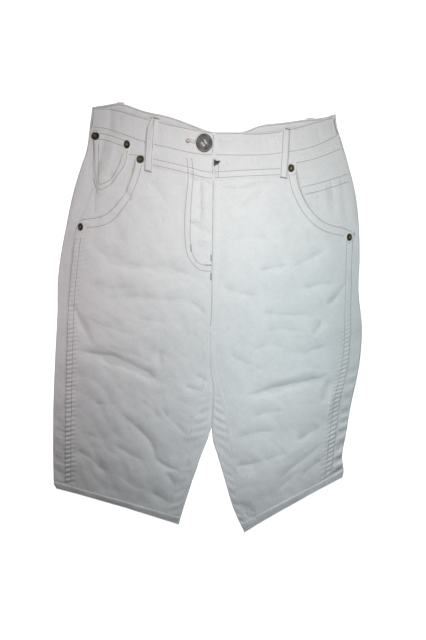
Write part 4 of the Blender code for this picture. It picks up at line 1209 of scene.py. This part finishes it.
frontLoopLook = {
    "ends": {"right": (-80.4, 280.2, -84.6, 203.2),    # top x and y, bottom x and y
             "left": (109.4, 265.4, 105.6, 194.0)},
    "lean": {"right": 6.5, "left": 0.0}, "leanFrom": 0.26,    # the top leans inwards
    "slant": {"right": -2.0, "left": 0.8},
    "ridge": 0.5, "channel": 0.25, "edge": 0.45, "turnedEnd": 0.35,
    "cut": {"flat": (0.018, 0.080), "area": 0.0009},
}


def loopHeight(side, share, x, y):
    bandTop = bandBase(side, x, y) + bandThick
    yokeTop = frontBase(side, x, y) + denimThick
    onBand = ease(-8, 2, y - lineAt(waistSeam, x))
    under = yokeTop + (bandTop - yokeTop) * onBand
    return under + layGap + 0.1 + 0.7 * np.sin(math.pi * np.clip(share, 0, 1)) ** 0.7


def frontLoop(side):
    topX, topY, bottomX, bottomY = frontLoopLook["ends"][side]
    share = np.linspace(0, 1, 64)[:, None]
    across = np.linspace(-0.5, 0.5, 17)[None, :]
    lean = frontLoopLook["lean"][side] * ease(frontLoopLook["leanFrom"], 0.0, share)
    centre = topX + (bottomX - topX) * share + lean + 0 * across
    y = topY + (bottomY - topY) * share + frontLoopLook["slant"][side] * across
    height = loopHeight(side, share, centre, y) + denimThick / 2
    # A folded ridge along the middle, stitched channels at both edges, and turned ends.
    look = frontLoopLook
    height = height + look["ridge"] * np.exp(-((across - 0.12) / 0.16) ** 2)
    height = height - look["channel"] * np.exp(-((np.abs(across) - 0.4) / 0.06) ** 2)
    height = height - look["edge"] * ease(0.4, 0.5, np.abs(across))
    for end in (0.04, 0.96):
        height = height - look["turnedEnd"] * ease(0.045, 0.02, np.abs(share - end))
    grid = np.stack([centre + loopWidth * across, y, height], axis=2)
    return clothPiece("belt_loop_front_" + side, grid, denimThick)


def backLoop(side):
    x, top, bottom = backLoopLook["ends"][side]
    y = np.linspace(top, bottom, 34)[:, None] + np.zeros(9)[None, :]
    across = x + loopWidth * np.linspace(-0.5, 0.5, 9)[None, :] + 0 * y
    grid = np.stack([across, y, np.full(y.shape, denimThick / 2)], axis=2)
    return clothPiece("belt_loop_back_" + side, grid, denimThick)


for side in ("right", "left"):
    backPanel(side)
    frontPanel(side)
    yoke(side)
    hipFacing(side)
    waistband(side)
    hem(side)
    frontLoop(side)
    backLoop(side)
hipBand()
coinPocket()
waistbandBack()
print("cloth pieces made")

# Stitches lie on finished pieces: short closed threads with both ends sunk in the cloth.
stitchLook = {"radius": 0.39, "pitch": 3.1, "share": 0.43, "wander": 0.10,
              "sideRadius": {"right": 0.36, "left": 0.27}}
surfaces = {}


def topAt(pieces, x, y):
    best = None
    for name in pieces:
        if name not in surfaces:
            surfaces[name] = BVHTree.FromObject(bpy.data.objects[name],
                                                bpy.context.evaluated_depsgraph_get())
        hit = surfaces[name].ray_cast(Vector((x, y, 40)) * mm, Vector((0, 0, -1)))[0]
        if hit and (best is None or hit.z / mm > best):
            best = hit.z / mm
    return best


# Closed threads from point pairs; the rings are (place along, lift, size).
threadSides = 6
threadRings = ((-1.0, -0.9, 0.7), (-0.62, 0.2, 1.0), (0.0, 0.45, 1.0), (0.62, 0.2, 1.0),
               (1.0, -0.9, 0.7))


def threads(name, pairs, pieces, look=None, radius=None, lift=0.0):
    radius = radius or stitchLook["radius"]
    points, faces = [], []
    for (ax, ay), (bx, by) in pairs:
        mx, my, hx, hy = (ax + bx) / 2, (ay + by) / 2, (bx - ax) / 2, (by - ay) / 2
        ends = [topAt(pieces, x, y) if pieces else 0.0
                for x, y in ((ax, ay), (mx, my), (bx, by))]
        if None in ends:
            continue
        first = len(points)
        size = math.hypot(hx, hy)
        for at, rise, wide in threadRings:
            level = ends[1] + abs(at) * (ends[0 if at < 0 else 2] - ends[1]) + lift
            for k in range(threadSides):
                angle = math.tau * k / threadSides
                across = radius * wide * math.cos(angle) / size
                points.append((mx + hx * at - hy * across, my + hy * at + hx * across,
                               level + radius * (rise + wide * math.sin(angle))))
        last = len(points) - threadSides
        faces.append([first + k for k in range(threadSides)][::-1])
        faces.append([last + k for k in range(threadSides)])
        for ring in range(first, last, threadSides):
            for k in range(threadSides):
                here, after = ring + k, ring + (k + 1) % threadSides
                faces.append([here, after, after + threadSides, here + threadSides])
    made = meshObject(name, points, faces, look or thread)
    smoothMesh(made, 60)
    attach(made, "shorts")
    print(name, len(points) // (threadSides * len(threadRings)), "stitches")
    return made


def stitched(row, pitch=None):
    row = np.asarray(row, float)
    dice = random.Random(int(abs(row).sum()))
    length = np.hypot(*np.diff(row, axis=0).T).sum()
    line = walk(row, max(int(round(length / (pitch or stitchLook["pitch"]))), 1))
    pairs = []
    for a, b in zip(line[:-1], line[1:]):
        middle, half = (a + b) / 2, (b - a) * stitchLook["share"]
        stray = np.array([dice.gauss(0, stitchLook["wander"]) for _ in range(4)])
        pairs.append((middle - half + stray[:2], middle + half + stray[2:]))
    return pairs


# A bar of close stitches across the line from start to end.
def barTack(start, end, width=2.2, pitch=0.62):
    start, end = np.array(start, float), np.array(end, float)
    length = math.dist(start, end)
    heading = (end - start) / length
    across = np.array([-heading[1], heading[0]]) * width / 2
    slant = heading * pitch * 0.5
    count = max(int(length / pitch), 1)
    return [(start + heading * length * k / count - across - slant,
             start + heading * length * k / count + across + slant) for k in range(count + 1)]


def beside(points, gap):
    points = np.asarray(points, float)
    heading = np.gradient(points, axis=0)
    heading /= np.hypot(*heading.T)[:, None]
    return points + np.asarray(gap)[..., None] * np.column_stack([-heading[:, 1], heading[:, 0]])


bandRows = {"top": -1.8, "bottom": 2.2, "backTop": -2.6}
for side, start, end in (("right", -161.5, 5.4), ("left", 10.4, 179.4)):
    rows = stitched(crosswise(waistTop, bandRows["top"], start, end))
    rows += stitched(crosswise(waistSeam, bandRows["bottom"], start, end))
    if side == "right":
        rows += stitched(lengthwise(centreLine, -2.2, 256.5, 230.5))
    threads("waistband_" + side + "_stitches", rows, ["waistband_" + side + "_twill"])
threads("waistband_back_stitches",
        stitched(crosswise(backTop, bandRows["backTop"], -158, 174)), ["waistband_back_twill"])

rows = []
for above in yokeLook["rows"]:
    rows += stitched(crosswise(yokeSeam, above, -78, 5.4))
rows += stitched(crosswise(hipSeam["right"], yokeLook["rows"][0], -113, -99.5), 2.2)
rows += stitched(lengthwise(centreLine, -1.4, 223, 200))
threads("yoke_right_stitches", rows, ["yoke_right_twill"])
rows = []
for above in yokeLook["rows"]:
    rows += stitched(crosswise(yokeSeam, above, 8.8, 103.5))
rows += stitched(crosswise(hipSeam["left"], yokeLook["rows"][0], 122.5, 187.5))
rows += stitched([(13.9, 216), (13.6, 203), (13.9, 195.5)])
threads("yoke_left_stitches", rows, ["yoke_left_twill"])

threads("hip_band_left_stitches",
        stitched([(130.0, 182.6), (157.9, 189.4), (198.0, 202.0)])
        + stitched([(135.0, 172.6), (157.9, 178.2), (199.6, 191.6)]), ["hip_band_left_twill"])

coinRows = {
    "topRows": (2.6, 10.8),
    "outer": ([(-158.8, 243), (-158.4, 207), (-156.4, 189), (-153.9, 178.0)],
              [(-153.9, 178.0), (-139, 184.8), (-124.8, 203.5), (-117.6, 213.5), (-113.4, 233)]),
    "inner": ([(-153.6, 242), (-154.4, 207), (-154.0, 192), (-152.0, 186.0)],
              [(-152.0, 186.0), (-138, 192.9), (-125.8, 212), (-120.4, 230)]),
}
rows = []
for below in coinRows["topRows"]:
    rows += stitched(crosswise(waistSeam, -3.4 - below, -158, -111.5))
for row in coinRows["outer"] + coinRows["inner"]:
    rows += stitched(row)
threads("coin_pocket_stitches", rows, ["coin_pocket_twill"])

flyRows = {
    "outer": [(-30.5, 224), (-28.3, 201), (-30.5, 173), (-32.9, 148), (-32.9, 113), (-30.5, 92),
              (-23.1, 76.7), (-10.8, 66.6), (3.5, 65)],
    "inner": [(-23.7, 223.5), (-21.4, 204), (-23.7, 170), (-25.2, 140), (-25.2, 105),
              (-21.4, 87), (-12.3, 75.7), (3.5, 73.4)],
    "tacks": [((-24.4, 102), (-24.4, 92.5)), ((-3.5, 73.6), (4.0, 73.6)), ((3.6, 88), (3.6, 79)),
              ((3.4, 62), (3.4, 53))],
}
sideRowLook = {"gaps": (1.8, 9.8), "top": 112, "bottom": -229.0}
for side in ("right", "left"):
    front = ["front_panel_" + side + "_twill"]
    inward = -outward[side]
    reach = np.linspace(0, fromLine(scoopLine[side], 0, 0)[2], 41)
    rows = stitched(beside(scoopLine[side], inward * 1.6)[1:-2])
    rows += stitched(beside(scoopLine[side], inward * scoopStitchGap(side, reach))[1:-3])
    sideRows = []
    for inside in sideRowLook["gaps"]:
        sideRows += stitched(lengthwise(sideSeam[side], inward * inside, sideRowLook["top"],
                                        sideRowLook["bottom"]))
    threads("side_seam_" + side + "_stitches", sideRows, front,
            radius=stitchLook["sideRadius"][side])
    if side == "right":
        rows += stitched(lengthwise(centreLine, -0.6, 192, -12))
        for tack in flyRows["tacks"]:
            rows += barTack(*tack, width=1.6)
        threads("fly_stitches", stitched(flyRows["outer"]) + stitched(flyRows["inner"]),
                ["yoke_right_twill"] + front)
    threads("front_panel_" + side + "_stitches", rows, front)

for side in ("right", "left"):
    topX, topY, bottomX, bottomY = frontLoopLook["ends"][side]
    loop = ["belt_loop_front_" + side + "_twill"]
    rows = []
    for across in (-4.4, 4.1):
        rows += stitched([(topX + across, topY - 3), (bottomX + across, bottomY + 3)])
    lean = frontLoopLook["lean"][side]
    for x, y, half in ((topX + 1.2 + lean, topY - 1.6, 3.4), (bottomX, bottomY + 1.9, 4.6)):
        rows += barTack((x - half, y + 0.8), (x + half, y - 0.9), width=1.8)
    threads("belt_loop_front_" + side + "_stitches", rows, loop)

# The buttonhole's bars lie across the slit's lips, and the eye's threads stand round its end.
(ax, ay), (bx, by) = buttonhole["start"], buttonhole["end"]
rows = []
for k in range(buttonhole["bars"]):
    x = ax + buttonhole["barStart"] + buttonhole["barPitch"] * k
    middle = ay + (by - ay) * (x - ax) / (bx - ax)
    for turn in (1, -1):
        near, far = middle + turn * (buttonhole["slit"] + 0.1), middle + turn * buttonhole["barEnd"]
        rows.append(((x, near), (x + 0.1, far)))
threads("buttonhole_bars", rows, ["waistband_right_twill"], look=paleThread, radius=0.42)
rows = []
eyeThreads = buttonhole["eyeThreads"]
for k in range(eyeThreads):
    angle = math.radians(buttonhole["eyeStart"] + buttonhole["eyeTurn"] * k / (eyeThreads - 1))
    rows.append([(ax + radius * math.cos(angle), ay + radius * math.sin(angle))
                 for radius in buttonhole["eyeReach"]])
threads("buttonhole_eye", rows, ["waistband_right_twill"], look=rustThread, radius=0.46)
print("stitches made")


# Fittings. A round piece turned from a profile of (radius, height), top to bottom.
def turned(name, profile, at, look, sides=48, stretch=(1.0, 1.0), dip=None):
    points = [(0.0, 0.0, profile[0][1])]
    for radius, height in profile[1:-1]:
        for k in range(sides):
            angle = math.tau * k / sides
            points.append((radius * math.cos(angle), radius * math.sin(angle), height))
    points.append((0.0, 0.0, profile[-1][1]))
    faces = [(0, 1 + k, 1 + (k + 1) % sides) for k in range(sides)]
    for ring in range(len(profile) - 3):
        low = 1 + ring * sides
        for k in range(sides):
            after = (k + 1) % sides
            faces.append((low + k, low + sides + k, low + sides + after, low + after))
    low = 1 + (len(profile) - 3) * sides
    faces += [(len(points) - 1, low + (k + 1) % sides, low + k) for k in range(sides)]
    points = np.array(points)
    if dip:
        points[:, 2] += dip(points)
    points[:, 0] *= stretch[0]
    points[:, 1] *= stretch[1]
    made = meshObject(name, points + np.array(at), faces, look)
    smoothMesh(made, 38)
    return made


buttonLook = {
    "at": (-5.7, 244.2), "stretch": (0.935, 1.07), "top": 9.0,
    "dish": {"deep": 0.95, "radius": 7.4, "step": 0.35}, "bottom": 4.6,
    "holes": ((-4.6, 1.7), (0.1, -4.7), (-0.7, 5.3), (3.2, -1.7)), "holeSize": 1.15,
    "profile": [(8.2, -0.5), (8.8, -0.1), (9.3, 0.05), (9.8, -0.05),
                (10.6, -0.15), (11.4, -0.4), (12.0, -0.9), (12.2, -1.4), (12.0, -2.0),
                (11.2, -2.3), (5.0, -2.4), (4.0, -2.8), (4.0, -4.6)],
}


def buttonDip(points):
    dip = np.zeros(len(points))
    upper = points[:, 2] > buttonLook["top"] - 1.3
    for x, y in buttonLook["holes"]:
        gap = np.hypot(points[:, 0] - x, points[:, 1] - y)
        dip -= np.where(upper, 1.1 * ease(buttonLook["holeSize"] + 0.45, 0.5, gap), 0)
    angle = np.arctan2(points[:, 1], points[:, 0])
    return dip + np.where(upper, 0.06 * np.sin(9 * points[:, 0]) * np.sin(angle * 3), 0)


def button():
    top, dish = buttonLook["top"], buttonLook["dish"]
    profile = [(0.0, top - dish["deep"])]
    for radius in np.arange(dish["step"], dish["radius"], dish["step"]):
        profile.append((radius, top - dish["deep"]))
    profile += [(r, top + z) for r, z in buttonLook["profile"]]
    profile += [(0.0, top - buttonLook["bottom"])]
    made = turned("button_horn", profile, (*buttonLook["at"], 0.0), horn, 96,
                  buttonLook["stretch"], buttonDip)
    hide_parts("button")
    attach(made, "shorts")
    x, y = buttonLook["at"]
    pairs = []
    for a, b in (buttonLook["holes"][:2], buttonLook["holes"][2:]):
        for shift in (-0.75, -0.25, 0.25, 0.75):
            pairs.append(((x + a[0] + shift, y + a[1] + shift * 0.5),
                          (x + b[0] + shift, y + b[1] + shift * 0.5)))
    threads("button_thread", pairs, ["button_horn"], look=paleThread, radius=0.42, lift=0.75)


rivetLook = {
    "at": [(-158, 254), (-114.2, 242.4), (-95.4, 221.8), (-179, 127.2), (115.6, 209.2),
           (197.2, 112.6)],
    "under": ["coin_pocket_twill"] + [name + side + "_twill" for side in ("right", "left")
                                      for name in ("yoke_", "front_panel_", "waistband_",
                                                   "hip_facing_")],
    "stretch": [(1, 1), (0.78, 1.08), (1, 1.03), (0.66, 1), (0.85, 1.02), (0.68, 0.96)],
    "profile": [(0.0, 0.85), (2.0, 0.8), (2.5, 0.95), (3.1, 1.35), (3.9, 1.5), (4.6, 1.3),
                (5.2, 0.85), (5.5, 0.25), (5.4, -0.1), (2.0, -0.15), (0.0, -0.15)],
    "pin": [(0.0, 1.45), (0.5, 1.4), (0.85, 1.2), (1.0, 0.85), (1.0, 0.5), (0.0, 0.5)],
}


def rivet(number):
    node = "rivet_%d" % number
    x, y = rivetLook["at"][number - 1]
    stretch = rivetLook["stretch"][number - 1]
    base = topAt(rivetLook["under"], x, y) - 0.1
    made = turned(node + "_ring", rivetLook["profile"], (x, y, base), bronze, 40, stretch)
    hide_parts(node)
    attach(made, "shorts")
    pin = turned(node + "_pin", rivetLook["pin"], (x + 0.3, y - 0.2, base), wornBronze, 20, stretch)
    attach(pin, "shorts")


button()
for number in range(1, 7):
    rivet(number)
for name, look in (("zip_slider", gunmetal), ("zip_pull", gunmetal), ("zip_tape", denim)):
    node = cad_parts[name]
    node.data.materials.clear()
    node.data.materials.append(look)
print("fittings finished")

# Floor, light and camera.
studio = {
    "lamps": [    # name, place, size, power, colour
        ("key", (0.034, 0.190, 0.305), 0.20, 0.82, (1.037, 1.0, 1.001)),
        ("side", (0.132, 0.052, 0.24), 0.16, 0.085, (0.36, 1.0, 1.034)),
        ("low", (0.078, -0.150, 0.24), 0.16, 0.255, (0.90, 1.0, 1.05)),
        ("left", (-0.283, 0.0, 0.24), 0.16, 0.128, (1.25, 1.0, 1.06)),
    ],
    "sweep": {"strength": 0.38, "tilt": 62.0, "spread": 20.0},    # a far window beyond the waist
    "ambient": 0.02, "floor": (0.9, 0.9, 0.9), "floorGlow": 0.95, "floorSize": 30.0,
    "floorLevel": -0.0004, "sensor": 36.0, "clothLevel": 0.004,
    "cameraHeight": 2.0, "cameraShift": (0.0077, -0.004), "viewHeight": 0.896,
}


def makeStudio():
    floorMesh = bpy.data.meshes.new("floor")
    size, level = studio["floorSize"], studio["floorLevel"]
    corners = [(x * size, y * size, level) for x, y in ((-1, -1), (1, -1), (1, 1), (-1, 1))]
    floorMesh.from_pydata(corners, [], [(0, 1, 2, 3)])
    floorMesh.materials.append(startMaterial("pale_floor", {
        "Base Color": (*studio["floor"], 1), "Roughness": 0.9,
        "Emission Color": (1, 1, 1, 1), "Emission Strength": studio["floorGlow"]})[0])
    floor = addObject("floor", floorMesh)

    world = bpy.data.worlds.new("studio")
    world.use_nodes = True
    world.node_tree.nodes["Background"].inputs["Color"].default_value = (1, 1, 1, 1)
    world.node_tree.nodes["Background"].inputs["Strength"].default_value = studio["ambient"]
    bpy.context.scene.world = world

    for name, place, size, power, colour in studio["lamps"]:
        light = bpy.data.lights.new(name, "AREA")
        light.shape = "DISK"
        light.size = size
        light.energy = power
        light.color = colour
        lamp = addObject(name, light)
        lamp.location = place
        lamp.visible_camera = False

    sweep = bpy.data.lights.new("sweep", "SUN")
    sweep.energy = studio["sweep"]["strength"]
    sweep.angle = math.radians(studio["sweep"]["spread"])
    window = addObject("sweep", sweep)
    window.rotation_euler = (math.radians(-studio["sweep"]["tilt"]), 0, 0)

    lens = bpy.data.cameras.new("overhead")
    lens.sensor_fit = "VERTICAL"
    lens.sensor_height = studio["sensor"]
    distance = studio["cameraHeight"] - studio["clothLevel"]
    lens.lens = studio["sensor"] * distance / studio["viewHeight"]
    camera = addObject("overhead", lens)
    low, high = cadBox
    middle = [(a + b) / 2 for a, b in zip(low, high)]
    shiftX, shiftY = studio["cameraShift"]
    camera.location = (middle[0] + shiftX, middle[1] + shiftY, studio["cameraHeight"])
    bpy.context.scene.camera = camera
    bpy.context.scene.view_settings.view_transform = "Standard"


makeStudio()
print("studio ready")
